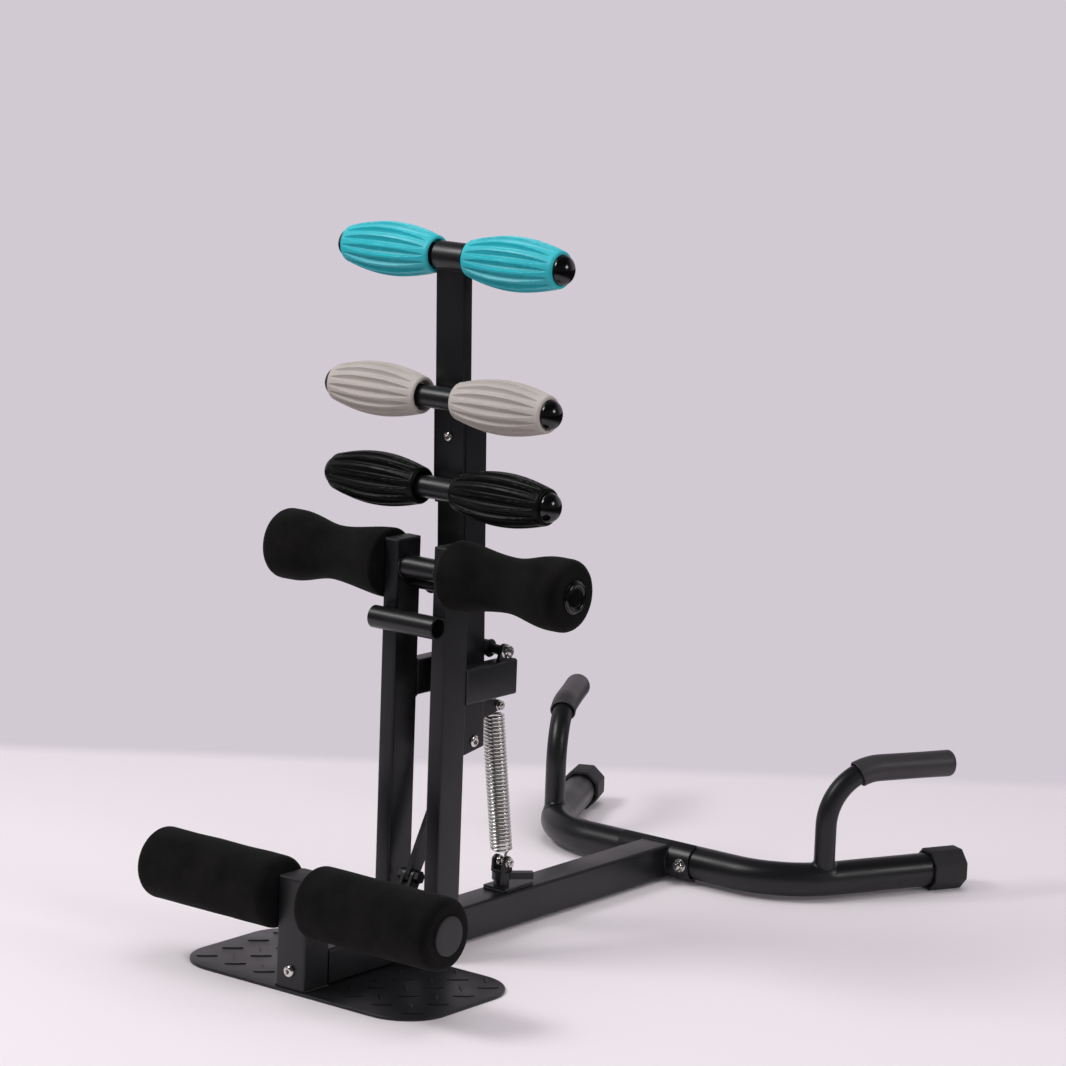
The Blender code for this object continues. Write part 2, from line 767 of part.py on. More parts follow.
def limit_stay(pin):
    """A flat bar with an eye at the beam's bracket and a slot round the mast's foot bolt."""
    lean_back, length = stay_angle()
    half = stay_width / 2
    slot = foot_bolt_size / 2 + slot_play
    slot_low = length - 4.0 * mm
    slot_high = slot_low + stay_travel + 3.0 * mm
    eye = stay_width * 0.45
    outline = []
    for k in range(9):
        angle = pi + pi * k / 8
        outline.append((eye * cos(angle), eye * sin(angle)))
    outline.append((half, 30.0 * mm))
    for k in range(9):
        angle = pi * k / 8
        outline.append((half * cos(angle), slot_high + half * sin(angle)))
    outline.append((-half, 30.0 * mm))
    bar = prism("limit_stay", outline, -stay_thickness / 2, stay_thickness / 2, "X", black_coat, pin)
    opening = []
    for k in range(9):
        angle = pi * k / 8
        opening.append((slot * cos(angle), slot_high + slot * sin(angle)))
    for k in range(9):
        angle = pi + pi * k / 8
        opening.append((slot * cos(angle), slot_low + slot * sin(angle)))
    cut(bar, prism("stay_slot", opening, -stay_thickness, stay_thickness, "X", None, pin))
    cut(bar, rod_tool("stay_eye_hole", stay_bolt_size + pin_play, (0.0, 0.0), -stay_thickness, stay_thickness,
                      "X", pin))
    return bar


def stay_bracket():
    """Two leaning cheeks on a foot plate welded to the beam's top."""
    lean_back = stay_angle()[0]
    foot_z = beam_top + gap
    foot_top = foot_z + 4.0 * mm
    rise = stay_pin_z - foot_z
    foot_y = stay_pin_y - rise * tan(lean_back)
    half = stay_width * 0.4
    body = box("stay_bracket", (-15.0 * mm, foot_y - 14.0 * mm, foot_z), (15.0 * mm, foot_y + 20.0 * mm, foot_top),
               black_coat)
    along = Vector((sin(lean_back), cos(lean_back)))
    across = Vector((cos(lean_back), -sin(lean_back)))
    top = Vector((stay_pin_y, stay_pin_z))
    outline = []
    for k in range(9):
        angle = pi * k / 8
        point = top + across * half * cos(angle) + along * half * sin(angle)
        outline.append((point.x, point.y))
    for sign in (-1, 1):
        start = top + across * half * sign
        drop = (start.y - foot_z - 2.0 * mm) / along.y
        point = start - along * drop
        outline.append((point.x, point.y))
    for number, side in enumerate((-1, 1)):
        inner = stay_thickness / 2 + 1.0 * mm
        ends = sorted((side * inner, side * (inner + 4.0 * mm)))
        weld(body, prism(f"stay_cheek_{number}", outline, ends[0], ends[1], "X"))
    cut(body, rod_tool("stay_bracket_hole", stay_bolt_size + pin_play, (stay_pin_y, stay_pin_z),
                       -20.0 * mm, 20.0 * mm, "X"))
    return body


# Spring, its anchor and lever

def spring_ends():
    top = Vector((0.0, *on_mast(lug_back, -lug_drop)))
    low = Vector((0.0, anchor_y, anchor_bolt_z))
    return low, top


def extension_spring(pin):
    """One unbroken wire: a hook round each bolt and the close coils between them."""
    low, top = spring_ends()
    length = (top - low).length
    coil = (spring_size - spring_wire) / 2
    hook = spring_bolt_size / 2 + gap + spring_wire / 2
    per_turn = 7
    over = per_turn - 2
    start_angle = pi * (1 - over / per_turn)
    pitch = (length - 2 * spring_end) / (spring_turns + over / per_turn)

    def end_points():
        points = []
        for k in range(9):
            angle = radians(140 + 230 * k / 8)
            points.append(Vector((0.0, hook * cos(angle), hook * sin(angle))))
        points.append(Vector((0.5 * mm, coil * 0.72, spring_end * 0.52)))
        points.append(Vector((coil * 0.35, coil * 0.85, spring_end * 0.82)))
        return points

    route = end_points()
    for k in range(spring_turns * per_turn + over + 1):
        angle = start_angle + 2 * pi * k / per_turn
        route.append(Vector((coil * sin(angle), coil * cos(angle), spring_end + pitch * k / per_turn)))
    route += [Vector((-p.x, p.y, length - p.z)) for p in reversed(end_points())]
    wire = round_bar("spring", route, spring_wire, zinc, pin, sides=1)
    least = least_gap(route, per_turn) - spring_wire
    print(f"spring: least gap between turns {least * 1000:.2f} mm, length between bolts {length * 1000:.1f} mm")
    return wire


def least_gap(route, per_turn):
    """Least distance between stretches of a route that aren't next to each other."""
    best = 1.0
    for k, point in enumerate(route):
        for n in range(k + per_turn - 2, len(route) - 1):
            a = route[n]
            b = route[n + 1]
            if abs(a.z - point.z) > 0.02:
                continue
            step = b - a
            share = max(0.0, min(1.0, (point - a).dot(step) / step.length_squared))
            best = min(best, (point - a - step * share).length)
    return best


def spring_anchor():
    """A plate on the beam's top with a round post, and a yoke on the post for the spring's bolt."""
    foot_z = beam_top + gap
    body = box("spring_anchor", (-16.0 * mm, anchor_y - 12.0 * mm, foot_z),
               (16.0 * mm, anchor_y + 38.0 * mm, foot_z + 4.0 * mm), black_coat)
    yoke_z = lever_base + lever_height + gap
    yoke_half = 8.0 * mm
    weld(body, rod_tool("anchor_post", anchor_post_size, (0.0, anchor_y), foot_z + 2.0 * mm, yoke_z + 1.0 * mm, "Z"))
    weld(body, rod_tool("anchor_collar", anchor_post_size + 6.0 * mm, (0.0, anchor_y), foot_z + 2.0 * mm,
                        lever_base - gap, "Z"))
    ear = lug_place() + lug_thickness
    weld(body, box("anchor_yoke", (-ear, anchor_y - yoke_half, yoke_z),
                   (ear, anchor_y + yoke_half, yoke_z + 3.0 * mm)))
    outline = [(anchor_y - yoke_half, yoke_z + 1.0 * mm), (anchor_y + yoke_half, yoke_z + 1.0 * mm)]
    for k in range(7):
        angle = pi * k / 6
        outline.append((anchor_y + yoke_half * 0.9 * cos(angle), anchor_bolt_z + yoke_half * 0.9 * sin(angle)))
    for number, side in enumerate((-1, 1)):
        ends = sorted((side * lug_place(), side * ear))
        weld(body, prism(f"anchor_ear_{number}", outline, ends[0], ends[1], "X"))
    cut(body, rod_tool("anchor_bolt_hole", spring_bolt_size + pin_play, (anchor_y, anchor_bolt_z),
                       -20.0 * mm, 20.0 * mm, "X"))
    return body


def anchor_lever(pin):
    """A ring round the anchor's post with a straight flat lever."""
    ring = rod_tool("anchor_lever", 22.0 * mm, (0.0, 0.0), 0.0, lever_height, "Z", pin, count=20)
    ring.hide_render = False
    ring.data.materials.append(black_coat)
    swing = radians(lever_angle)
    half = lever_width / 2
    way = Vector((cos(swing), sin(swing)))
    side = Vector((-sin(swing), cos(swing)))
    near = anchor_post_size / 2 + 2.0 * mm
    corners = [side * half + way * near, side * -half + way * near,
               side * -half + way * lever_length, side * half + way * lever_length]
    weld(ring, prism("lever_arm", [(c.x, c.y) for c in corners], 0.6 * mm, lever_height - 0.6 * mm, "Z", None, pin))
    cut(ring, rod_tool("lever_bore", anchor_post_size + 2 * gap, (0.0, 0.0), -lever_height, 2 * lever_height,
                       "Z", pin))
    return ring


# Rear bar with its handles, saddle, end caps and grips

def bar_route(reach):
    """The rear bar's centre line: straight across, one bend and a straight run outward on each side."""
    right = []
    bend = radians(bar_bend_angle)
    steps = 6
    for k in range(steps + 1):
        angle = bend * k / steps
        right.append(Vector((bar_bend_x + bar_bend_radius * sin(angle),
                             bar_y + bar_bend_radius * (1 - cos(angle)), bar_z)))
    right.append(right[-1] + Vector((cos(bend), sin(bend), 0.0)) * reach)
    return [Vector((-p.x, p.y, p.z)) for p in reversed(right)] + right


def bar_way():
    """The way that the right end of the bar points."""
    bend = radians(bar_bend_angle)
    return Vector((cos(bend), sin(bend), 0.0))


def handle_way():
    """The way that the right grip points, seen from above."""
    heading = radians(handle_heading)
    return Vector((cos(heading), sin(heading), 0.0))


def handle_foot():
    """Where the right handle's centre line meets the bar's level, a little outward of the bar's own."""
    angle = radians(handle_angle)
    reach = bar_bend_radius + handle_outward
    return Vector((bar_bend_x + reach * sin(angle), bar_y + bar_bend_radius - reach * cos(angle), bar_z))


def handle_route(side):
    """From the bar straight up, one bend and a level run. Point 6 lies where the grip starts."""
    foot = handle_foot()
    way = handle_way()
    points = [foot]
    angles = [grip_mouth_angle * k / 5 for k in range(6)] + [(90.0 + grip_mouth_angle) / 2, 90.0]
    for angle in angles:
        out = handle_bend_radius * (1 - cos(radians(angle)))
        up = handle_height - handle_bend_radius + handle_bend_radius * sin(radians(angle))
        points.append(Vector((foot.x + way.x * out, foot.y + way.y * out, up)))
    end = handle_bend_radius + handle_level_run
    points.append(Vector((foot.x + way.x * end, foot.y + way.y * end, handle_height)))
    return [Vector((side * p.x, p.y, p.z)) for p in points]


def rear_bar():
    bar = as_mesh(round_bar("rear_bar", bar_route(bar_straight), bar_size, sides=4))
    bar.data.materials.append(black_coat)
    for side, hand in ((-1, "left"), (1, "right")):
        weld(bar, as_mesh(round_bar(f"handle_{hand}", handle_route(side), handle_size, sides=3)))
    bore = bar_size - 2 * tube_wall
    cut(bar, as_mesh(round_bar("bar_bore", bar_route(bar_straight + 5.0 * mm), bore, sides=2)))
    for side, hand in ((-1, "left"), (1, "right")):
        cut(bar, rod_tool(f"bar_bolt_hole_{hand}", saddle_bolt_size + pin_play, (side * saddle_bolt_x, bar_z),
                          bar_y - bar_size, bar_y + bar_size, "Y"))
    return bar


def saddle_bore():
    """Radius to the corners of the saddle's faceted hollow, clear of the bar."""
    return (bar_size / 2 + gap) / cos(radians(saddle_wrap) / saddle_facets)


def saddle():
    """The half shell that the beam ends in: it wraps the bar's front and takes its two bolts."""
    wrap = radians(saddle_wrap)
    steps = saddle_facets
    inner = saddle_bore()
    outer = inner + saddle_thickness
    outline = []
    for k in range(steps + 1):
        angle = pi - wrap + 2 * wrap * k / steps
        outline.append((bar_y + outer * cos(angle), bar_z + outer * sin(angle)))
    for k in range(steps, -1, -1):
        angle = pi - wrap + 2 * wrap * k / steps
        outline.append((bar_y + inner * cos(angle), bar_z + inner * sin(angle)))
    body = prism("saddle", outline, -saddle_half_width, saddle_half_width, "X", black_coat)
    for number, side in enumerate((-1, 1)):
        cut(body, rod_tool(f"saddle_hole_{number}", saddle_bolt_size + pin_play, (side * saddle_bolt_x, bar_z),
                           bar_y - bar_size, bar_y, "Y"))
    return body


def foot_cap(name, side):
    """An octagonal rubber foot over the bar's end, standing on one of its flats."""
    route = bar_route(bar_straight)
    way = Vector((side * bar_way().x, bar_way().y, 0.0))
    end = Vector((side * abs(route[-1].x), route[-1].y, bar_z))
    across = Vector((-way.y, way.x, 0.0))
    count = 16
    mouth = (bar_size / 2 + gap) / cos(pi / count)
    floor = gap
    shape = polygon(foot_cap_flats, 8)
    small = polygon(foot_cap_flats - 5.0 * mm, 8)
    stations = [
        (-foot_cap_length + 6.0 * mm, mouth), (-foot_cap_length + 6.0 * mm, shape), (4.0 * mm, shape),
        (6.0 * mm, small),
    ]
    bm = bmesh.new()

    def loop(along, radius):
        made = []
        for k in range(count):
            angle = 2 * pi * k / count
            reach = radius(angle) if callable(radius) else radius
            made.append(bm.verts.new(end + way * along + across * reach * cos(angle)
                                     + Vector((0.0, 0.0, 1.0)) * reach * sin(angle)))
        return made

    rings = [loop(floor, mouth)] + [loop(*station) for station in stations]
    for first, second in zip(rings, rings[1:]):
        for k in range(count):
            n = (k + 1) % count
            bm.faces.new((first[k], first[n], second[n], second[k]))
    bm.faces.new(rings[0])
    bm.faces.new(rings[-1])
    return add_object(name, bm, black_rubber)


def hand_grip(name, side):
    """A rubber sleeve with a closed round end, from the upper part of the handle's bend to its end."""
    route = handle_route(side)
    way = Vector((side * handle_way().x, handle_way().y, 0.0))
    across = Vector((-way.y, way.x, 0.0))
    outer = grip_size / 2
    bore = handle_size / 2 + 2 * gap
    last = len(route) - 1
    start = 6

    def loop(bm, number, reach, past=0.0):
        """A ring square to the route at one of its points, or past its end."""
        before = (route[number] - route[number - 1]).normalized()
        after = (route[number + 1] - route[number]).normalized() if number < last else before
        heading = (before + after).normalized()
        over = heading.cross(across)
        centre = route[number] + heading * past
        made = []
        for k in range(16):
            angle = 2 * pi * k / 16
            made.append(bm.verts.new(centre + across * reach * cos(angle) + over * reach * sin(angle)))
        return made

    bm = bmesh.new()
    rings = [loop(bm, last, bore, gap)]
    rings += [loop(bm, number, bore) for number in range(last - 1, start - 1, -1)]
    rings += [loop(bm, number, outer) for number in range(start, last)]
    for k in range(3):
        angle = pi / 2 * k / 3
        rings.append(loop(bm, last, outer - 5.0 * mm * (1 - cos(angle)), gap + grip_end * sin(angle)))
    for first, second in zip(rings, rings[1:]):
        for k in range(16):
            n = (k + 1) % 16
            bm.faces.new((first[k], first[n], second[n], second[k]))
    bm.faces.new(rings[0])
    bm.faces.new(rings[-1])
    return add_object(name, bm, black_rubber, smooth=True)


def build():
    foot_plate()
    base_beam()
    front_upright()
    plug_cap("front_upright_cap", beam_side, beam_side, (0.0, upright_front + beam_side / 2), upright_top_z)
    front_bolt()
    axle_tube("ankle_axle", ankle_axle_size, (ankle_y, ankle_axis_z), ankle_foam_end - gap, black_coat)
    axle_tube("seat_axle", seat_axle_size, (seat_y, seat_axis_z), seat_foam_end - gap, black_coat)
    for side, hand in ((-1, "left"), (1, "right")):
        ankle_foam(f"ankle_foam_{hand}", side)
        ankle_cap(f"ankle_cap_{hand}", side)
        seat_foam(f"knee_foam_{hand}", side)
        seat_plug(f"knee_plug_{hand}", side)
        post(f"post_{hand}", side)
        plug_cap(f"post_cap_{hand}", post_width, post_depth, (side * (post_inner + post_width / 2), post_mid_y),
                 post_top_z)
        foot_cap(f"foot_cap_{hand}", side)
        hand_grip(f"hand_grip_{hand}", side)
        bolt(f"saddle_bolt_{hand}", saddle_bolt_size, (side * saddle_bolt_x, bar_z), "Y",
             bar_y + bar_size / 2, bar_y - bar_size / 2 - gap - saddle_thickness, zinc)
    cross_bar()
    stop_rod()
    stop_buffer()

    mast = axis_empty("mast_pivot", (0.0, pivot_y, pivot_z), lean)
    bolt("pivot_bolt", pivot_bolt_size, (pivot_y, pivot_z), "X", -ear_place() - ear_thickness,
         ear_place() + ear_thickness, zinc)
    lower_mast(mast)
    upper_mast(mast)
    mast_screw(mast)
    bolt("foot_bolt", foot_bolt_size, (mast_mid, -foot_bolt_drop), "X", mast_width / 2, -mast_width / 2,
         zinc, mast, dome=True, thread=0.6 * mm, thin=0.5)
    bolt("spring_bolt", spring_bolt_size, (lug_back, -lug_drop), "X", -lug_place() - lug_thickness,
         lug_place() + lug_thickness, zinc, mast, thread=1.5 * mm)
    rows = (
        ("top", upper_mid, top_axle_up, top_roller_start, cyan_plastic),
        ("middle", axle_front, middle_axle_up, middle_roller_start, grey_plastic),
        ("lower", axle_front, lower_axle_up, lower_roller_start, black_plastic),
    )
    for row, back, up, start, look in rows:
        axle_tube(f"{row}_axle", axle_size, (back, up), start + roller_length - gap, black_coat, mast)
        for side, hand in ((-1, "left"), (1, "right")):
            fluted_roller(f"{row}_roller_{hand}", side, (back, up), start, look, mast)
            dome_cap(f"{row}_dome_{hand}", side, (back, up), start, mast)

    stay_pin = axis_empty("stay_pin", (0.0, stay_pin_y, stay_pin_z), -stay_angle()[0])
    limit_stay(stay_pin)
    stay_bracket()
    side_face = stay_thickness / 2 + 5.0 * mm
    bolt("stay_bolt", stay_bolt_size, (stay_pin_y, stay_pin_z), "X", side_face, -side_face, black_coat,
         thread=1.0 * mm)

    low, top = spring_ends()
    spring_pin = axis_empty("spring_pin", low, -atan2(top.y - low.y, top.z - low.z))
    extension_spring(spring_pin)
    spring_anchor()
    bolt("anchor_bolt", spring_bolt_size, (anchor_y, anchor_bolt_z), "X", -lug_place() - lug_thickness,
         lug_place() + lug_thickness, zinc, thread=1.5 * mm)
    lever_pin = axis_empty("lever_pin", (0.0, anchor_y, lever_base))
    anchor_lever(lever_pin)

    rear_bar()
    saddle()
    print(f"stay: {degrees(stay_angle()[0]):.2f} degrees from upright, {stay_angle()[1] * 1000:.1f} mm between pins")


build()
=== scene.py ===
# %% [markdown]
# # A floor-standing lean-back trainer
# The real object is a small squat trainer: a tread plate for the feet, foam
# rollers that hold the shins and knees, and a mast with six fluted rollers
# that tilts back against a spring. Its solids were measured first. This
# script puts a finished surface on each of them, so every piece starts from
# the size and the place that the measured frame gives.

# %% Load the measured frame
from math import atan2, cos, pi, radians, sin, sqrt

import bmesh
import bpy
from mathutils import Matrix, Vector, noise


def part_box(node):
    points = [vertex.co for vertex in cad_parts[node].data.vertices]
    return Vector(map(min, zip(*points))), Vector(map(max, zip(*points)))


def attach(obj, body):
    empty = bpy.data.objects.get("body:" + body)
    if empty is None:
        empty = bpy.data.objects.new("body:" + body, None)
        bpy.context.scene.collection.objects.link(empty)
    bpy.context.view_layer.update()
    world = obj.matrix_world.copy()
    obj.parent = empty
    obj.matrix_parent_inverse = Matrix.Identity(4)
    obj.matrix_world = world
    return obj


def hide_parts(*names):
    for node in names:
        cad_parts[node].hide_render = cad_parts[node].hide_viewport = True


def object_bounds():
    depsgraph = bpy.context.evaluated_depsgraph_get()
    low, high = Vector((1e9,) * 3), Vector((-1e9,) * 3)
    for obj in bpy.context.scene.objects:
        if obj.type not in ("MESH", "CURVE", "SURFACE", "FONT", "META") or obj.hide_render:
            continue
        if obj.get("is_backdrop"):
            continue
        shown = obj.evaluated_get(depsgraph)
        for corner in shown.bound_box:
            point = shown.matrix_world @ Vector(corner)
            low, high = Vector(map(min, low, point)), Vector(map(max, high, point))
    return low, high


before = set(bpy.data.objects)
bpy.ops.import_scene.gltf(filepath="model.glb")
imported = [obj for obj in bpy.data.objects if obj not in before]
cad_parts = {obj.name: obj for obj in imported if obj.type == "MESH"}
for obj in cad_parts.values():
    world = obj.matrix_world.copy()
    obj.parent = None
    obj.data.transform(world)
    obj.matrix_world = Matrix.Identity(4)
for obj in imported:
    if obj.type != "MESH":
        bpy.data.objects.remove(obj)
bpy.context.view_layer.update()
mm = 0.001

# %% [markdown]
# ## Where the main parts stand
# Most places are read from the frame's own boxes, so they can't drift from
# it. Only shapes that a box doesn't give, such as a bend's radius, are
# written as numbers, in millimetres, as on a maker's drawing. Points closer
# together than the merge distance become one, and a hair is how far a
# point may stand off a face and still count as lying on it.

# %% Sizes that the pieces share
gap = 0.3 * mm
wall = 2.0 * mm
hair = 0.001 * mm
merge = 0.002 * mm
hands = ((-1, "left"), (1, "right"))
row_names = ("top", "middle", "lower")


def middle(node):
    """The middle of a measured part's box."""
    low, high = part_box(node)
    return (low + high) / 2


ankle_axis = middle("ankle_axle")
knee_axis = middle("seat_axle")
bar_y, bar_z, bar_size = 575.55 * mm, 24.0 * mm, 40.0 * mm
handle_size, axle_size = 25.0 * mm, 25.0 * mm
mast_pivot = Vector((0.0, 206.05 * mm, 335.0 * mm))
mast_place = Matrix.Translation(mast_pivot) @ Matrix.Rotation(radians(2.2), 4, "X")
print("knee axis in mm:", [round(c / mm, 1) for c in knee_axis])

# %% [markdown]
# ## The camera
# The photograph was taken from the front right with a long lens, a little
# above the object. The turn, the tilt and the distance were worked out from
# the straight edges of the tubes. A long lens keeps the tubes' edges nearly
# parallel, so the distance matters as much as the lens.

# %% Place the camera
turn, tilt, roll = radians(-37.906), radians(10.561), radians(2.090)
camera_place = (2.69555, -3.16059, 1.26771)
forward = Vector((sin(turn) * cos(tilt), cos(turn) * cos(tilt), -sin(tilt)))
level = Vector((cos(turn), -sin(turn), 0.0))
rising = level.cross(forward)
across = cos(roll) * level + sin(roll) * rising
upward = -sin(roll) * level + cos(roll) * rising
camera_data = bpy.data.cameras.new("camera")
camera_data.lens = 134.31
camera_data.sensor_width = 36.0
camera_data.clip_end = 50.0
camera = bpy.data.objects.new("camera", camera_data)
facing = Matrix((across, upward, -forward)).transposed().to_4x4()
camera.matrix_world = Matrix.Translation(camera_place) @ facing
bpy.context.scene.collection.objects.link(camera)
bpy.context.scene.camera = camera
bpy.context.scene.view_settings.view_transform = "Standard"
print("camera distance in m:", round(camera.location.length, 2))

# %% [markdown]
# ## Nodes and colours
# A material is a small network of nodes. One function adds any node with
# its settings and its links, so a material reads as a list. Colours are
# written as the hex values that a paint chart shows, and one function turns
# them into the linear values that light is reckoned in. The finishes below
# all have the same build: noises of a few sizes drive a colour, a gloss and
# a skin, so these steps are functions too.


# %% Helpers for materials
def linear(colour):
    """A hex colour such as 3fb1bc as linear red, green, blue and alpha."""
    parts = [int(colour[k:k + 2], 16) / 255 for k in (0, 2, 4)]
    straight = [c / 12.92 if c <= 0.04045 else ((c + 0.055) / 1.055) ** 2.4 for c in parts]
    return (*straight, 1.0)


def add(tree, kind, values=None, links=None, **settings):
    """A node with its settings, the values of its sockets and the sockets linked into it."""
    made = tree.nodes.new(kind)
    for name, setting in settings.items():
        setattr(made, name, setting)
    for socket, value in (values or {}).items():
        made.inputs[socket].default_value = value
    for socket, source in (links or {}).items():
        tree.links.new(source, made.inputs[socket])
    return made


def blank(name):
    """A new material with an empty node tree."""
    made = bpy.data.materials.new(name)
    made.use_nodes = True
    made.node_tree.nodes.clear()
    return made, made.node_tree


def grains(size):
    """The scale of a noise or cell texture whose grains are about this many millimetres."""
    return 1.0 / (size * mm)


def speckle(tree, where, size, detail, **more):
    """A noise with grains this many millimetres wide, which stays with the piece when it moves."""
    return add(tree, "ShaderNodeTexNoise", {"Scale": grains(size), "Detail": detail, **more},
               {"Vector": where.outputs["Object"]})


def blend(tree, first, second, factor):
    """Two values mixed into one."""
    return add(tree, "ShaderNodeMix", {"Factor": factor}, {"A": first, "B": second})


def shades(tree, source, dark, light, ends=(0.0, 1.0)):
    """A colour that drifts between two hex colours as the source goes from one end to the other."""
    ramp = add(tree, "ShaderNodeValToRGB", links={"Fac": source})
    for stop, end, colour in zip(ramp.color_ramp.elements, ends, (dark, light)):
        stop.position = end
        stop.color = linear(colour)
    return ramp


def drift(tree, source, low, high):
    """A value that follows a noise between low and high. Most of a noise lies between 0.3 and 0.7."""
    return add(tree, "ShaderNodeMapRange", {"From Min": 0.3, "From Max": 0.7, "To Min": low, "To Max": high},
               {"Value": source})


def surface(tree, values, colour, height, strength, depth, gloss=None):
    """The end of a material: a bumped skin, the Principled surface and the output."""
    skin = add(tree, "ShaderNodeBump", {"Strength": strength, "Distance": depth * mm}, {"Height": height})
    links = {"Base Color": colour.outputs["Color"], "Normal": skin.outputs[0]}
    if gloss is not None:
        links["Roughness"] = gloss.outputs[0]
    body = add(tree, "ShaderNodeBsdfPrincipled", values, links)
    add(tree, "ShaderNodeOutputMaterial", links={"Surface": body.outputs[0]})


print("a 2 mm grain is a scale of", round(grains(2.0)))

# %% [markdown]
# ## The studio
# A plain pale floor runs back to a slightly darker, lilac backdrop. The
# floor is a real surface that takes the object's shadow. The backdrop is
# the world's own colour, seen by the camera and in reflections, so it
# stays out of the way when the object is looked at from behind. Where the
# floor passes the backdrop's foot, the camera sees it in the same colour.
#
# Satin black shows what stands around it more than its own colour. A real studio is dark behind the camera
# and past the paper's edge, so mirrored rays find a dim room there: the world is dim in those directions, and
# for those rays the far floor is painted dark grey, a painted shade. This is what keeps the tall tubes black
# while the low ones, close to the pale paper, turn dark grey.


# %% Backdrop
def calculate(tree, operation, first, second):
    """The product, or the larger, of two values."""
    return add(tree, "ShaderNodeMath", links={0: first, 1: second}, operation=operation)


def along(tree, ray, way):
    """How far a ray points along a direction: 1 is straight along it, 0 is across."""
    return add(tree, "ShaderNodeVectorMath", {1: way}, {0: ray.outputs["Object"]}, operation="DOT_PRODUCT")


def ease(tree, source, start, end=(0.0, 1.0)):
    """Turns one range of a value into another, with a soft start and a soft stop."""
    spans = {"From Min": start[0], "From Max": start[1], "To Min": end[0], "To Max": end[1]}
    return add(tree, "ShaderNodeMapRange", spans, {"Value": source}, interpolation_type="SMOOTHSTEP")


backdrop_colour = linear("d2cad3")
floor_colour = linear("ece5e9")

world = bpy.data.worlds.new("studio")
bpy.context.scene.world = world
world.use_nodes = True
tree = world.node_tree
tree.nodes.clear()
path = add(tree, "ShaderNodeLightPath")
camera_ray = path.outputs["Is Camera Ray"]
seen = calculate(tree, "MAXIMUM", camera_ray, path.outputs["Is Glossy Ray"])
ray = add(tree, "ShaderNodeTexCoord")
ahead = along(tree, ray, (sin(turn), cos(turn), 0.0))
cloth = ease(tree, ahead.outputs["Value"], (0.0, 0.6), (0.13, 0.9))
height = along(tree, ray, (0.0, 0.0, 1.0))
edge = ease(tree, height.outputs["Value"], (0.35, 0.65), (1.0, 0.2))
hung = calculate(tree, "MULTIPLY", cloth.outputs[0], edge.outputs[0])
shine = calculate(tree, "MAXIMUM", camera_ray, hung.outputs[0])
sky = add(tree, "ShaderNodeBackground", {"Color": linear("ece9ee"), "Strength": 0.5})
shown = add(tree, "ShaderNodeBackground", {"Color": backdrop_colour}, {"Strength": shine.outputs[0]})
mixed = add(tree, "ShaderNodeMixShader", links={0: seen.outputs[0], 1: sky.outputs[0], 2: shown.outputs[0]})
add(tree, "ShaderNodeOutputWorld", links={"Surface": mixed.outputs[0]})

# %% Floor
studio_floor, tree = blank("matt paper floor")
where = add(tree, "ShaderNodeTexCoord")
turned_in = add(tree, "ShaderNodeMapping", {"Location": (0.0, -0.95, 0.0)},
                {"Vector": where.outputs["Object"]}, vector_type="POINT")
parts = add(tree, "ShaderNodeSeparateXYZ", links={"Vector": turned_in.outputs[0]})
beyond = ease(tree, parts.outputs["Y"], (-0.02, 0.05))
path = add(tree, "ShaderNodeLightPath")
camera_ray = path.outputs["Is Camera Ray"]
faded = calculate(tree, "MULTIPLY", beyond.outputs[0], camera_ray)
# For every ray but the camera's, the floor from about 0.9 to 1.7 m out turns dark grey. This is painted shade
# that stands for the dim room past the paper's edge, so reflections and bounce light find it dark.
reach = add(tree, "ShaderNodeVectorMath", links={0: where.outputs["Object"]}, operation="LENGTH")
painted_shade_reach = ease(tree, reach.outputs["Value"], (0.9, 1.7))
indirect = add(tree, "ShaderNodeMath", {0: 1.0}, {1: camera_ray}, operation="SUBTRACT")
painted_room_shade = calculate(tree, "MULTIPLY", painted_shade_reach.outputs[0], indirect.outputs[0])
sheet = add(tree, "ShaderNodeMix", {6: floor_colour, 7: linear("2a2829")}, {0: painted_room_shade.outputs[0]},
            data_type="RGBA")
paper = add(tree, "ShaderNodeBsdfDiffuse", links={"Color": sheet.outputs[2]})
glow = add(tree, "ShaderNodeEmission", {"Color": backdrop_colour, "Strength": 1.0})
mixed = add(tree, "ShaderNodeMixShader", links={0: faded.outputs[0], 1: paper.outputs[0], 2: glow.outputs[0]})
add(tree, "ShaderNodeOutputMaterial", links={"Surface": mixed.outputs[0]})

bm = bmesh.new()
bmesh.ops.create_grid(bm, x_segments=2, y_segments=2, size=9.0)
floor_mesh = bpy.data.meshes.new("floor")
bm.to_mesh(floor_mesh)
bm.free()
floor_mesh.materials.append(studio_floor)
floor = bpy.data.objects.new("floor", floor_mesh)
floor.rotation_euler = (0.0, 0.0, -turn)
bpy.context.scene.collection.objects.link(floor)
floor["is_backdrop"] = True

# %% [markdown]
# ## The lights
# The polished domes mirror the whole room, so their highlights say where
# the lamps stood: a soft box above, in front and to the left, and a window
# low on the right. Two weak lights, overhead and to the right, open the
# shadows. They stand for light that comes back from a ceiling and a wall,
# so they aren't mirrored in the tubes as a lamp would be.


# %% Hang the lamps
def soft_lamp(name, place, aim, size, power, mirrored=True):
    """A rectangular lamp. One that isn't mirrored lights the piece but leaves no highlight."""
    data = bpy.data.lights.new(name, "AREA")
    data.shape = "RECTANGLE"
    data.size, data.size_y = size
    data.energy = power
    lamp = bpy.data.objects.new(name, data)
    towards = (Vector(aim) - Vector(place)).to_track_quat("-Z", "Y")
    lamp.matrix_world = Matrix.Translation(place) @ towards.to_matrix().to_4x4()
    lamp.visible_glossy = mirrored
    bpy.context.scene.collection.objects.link(lamp)


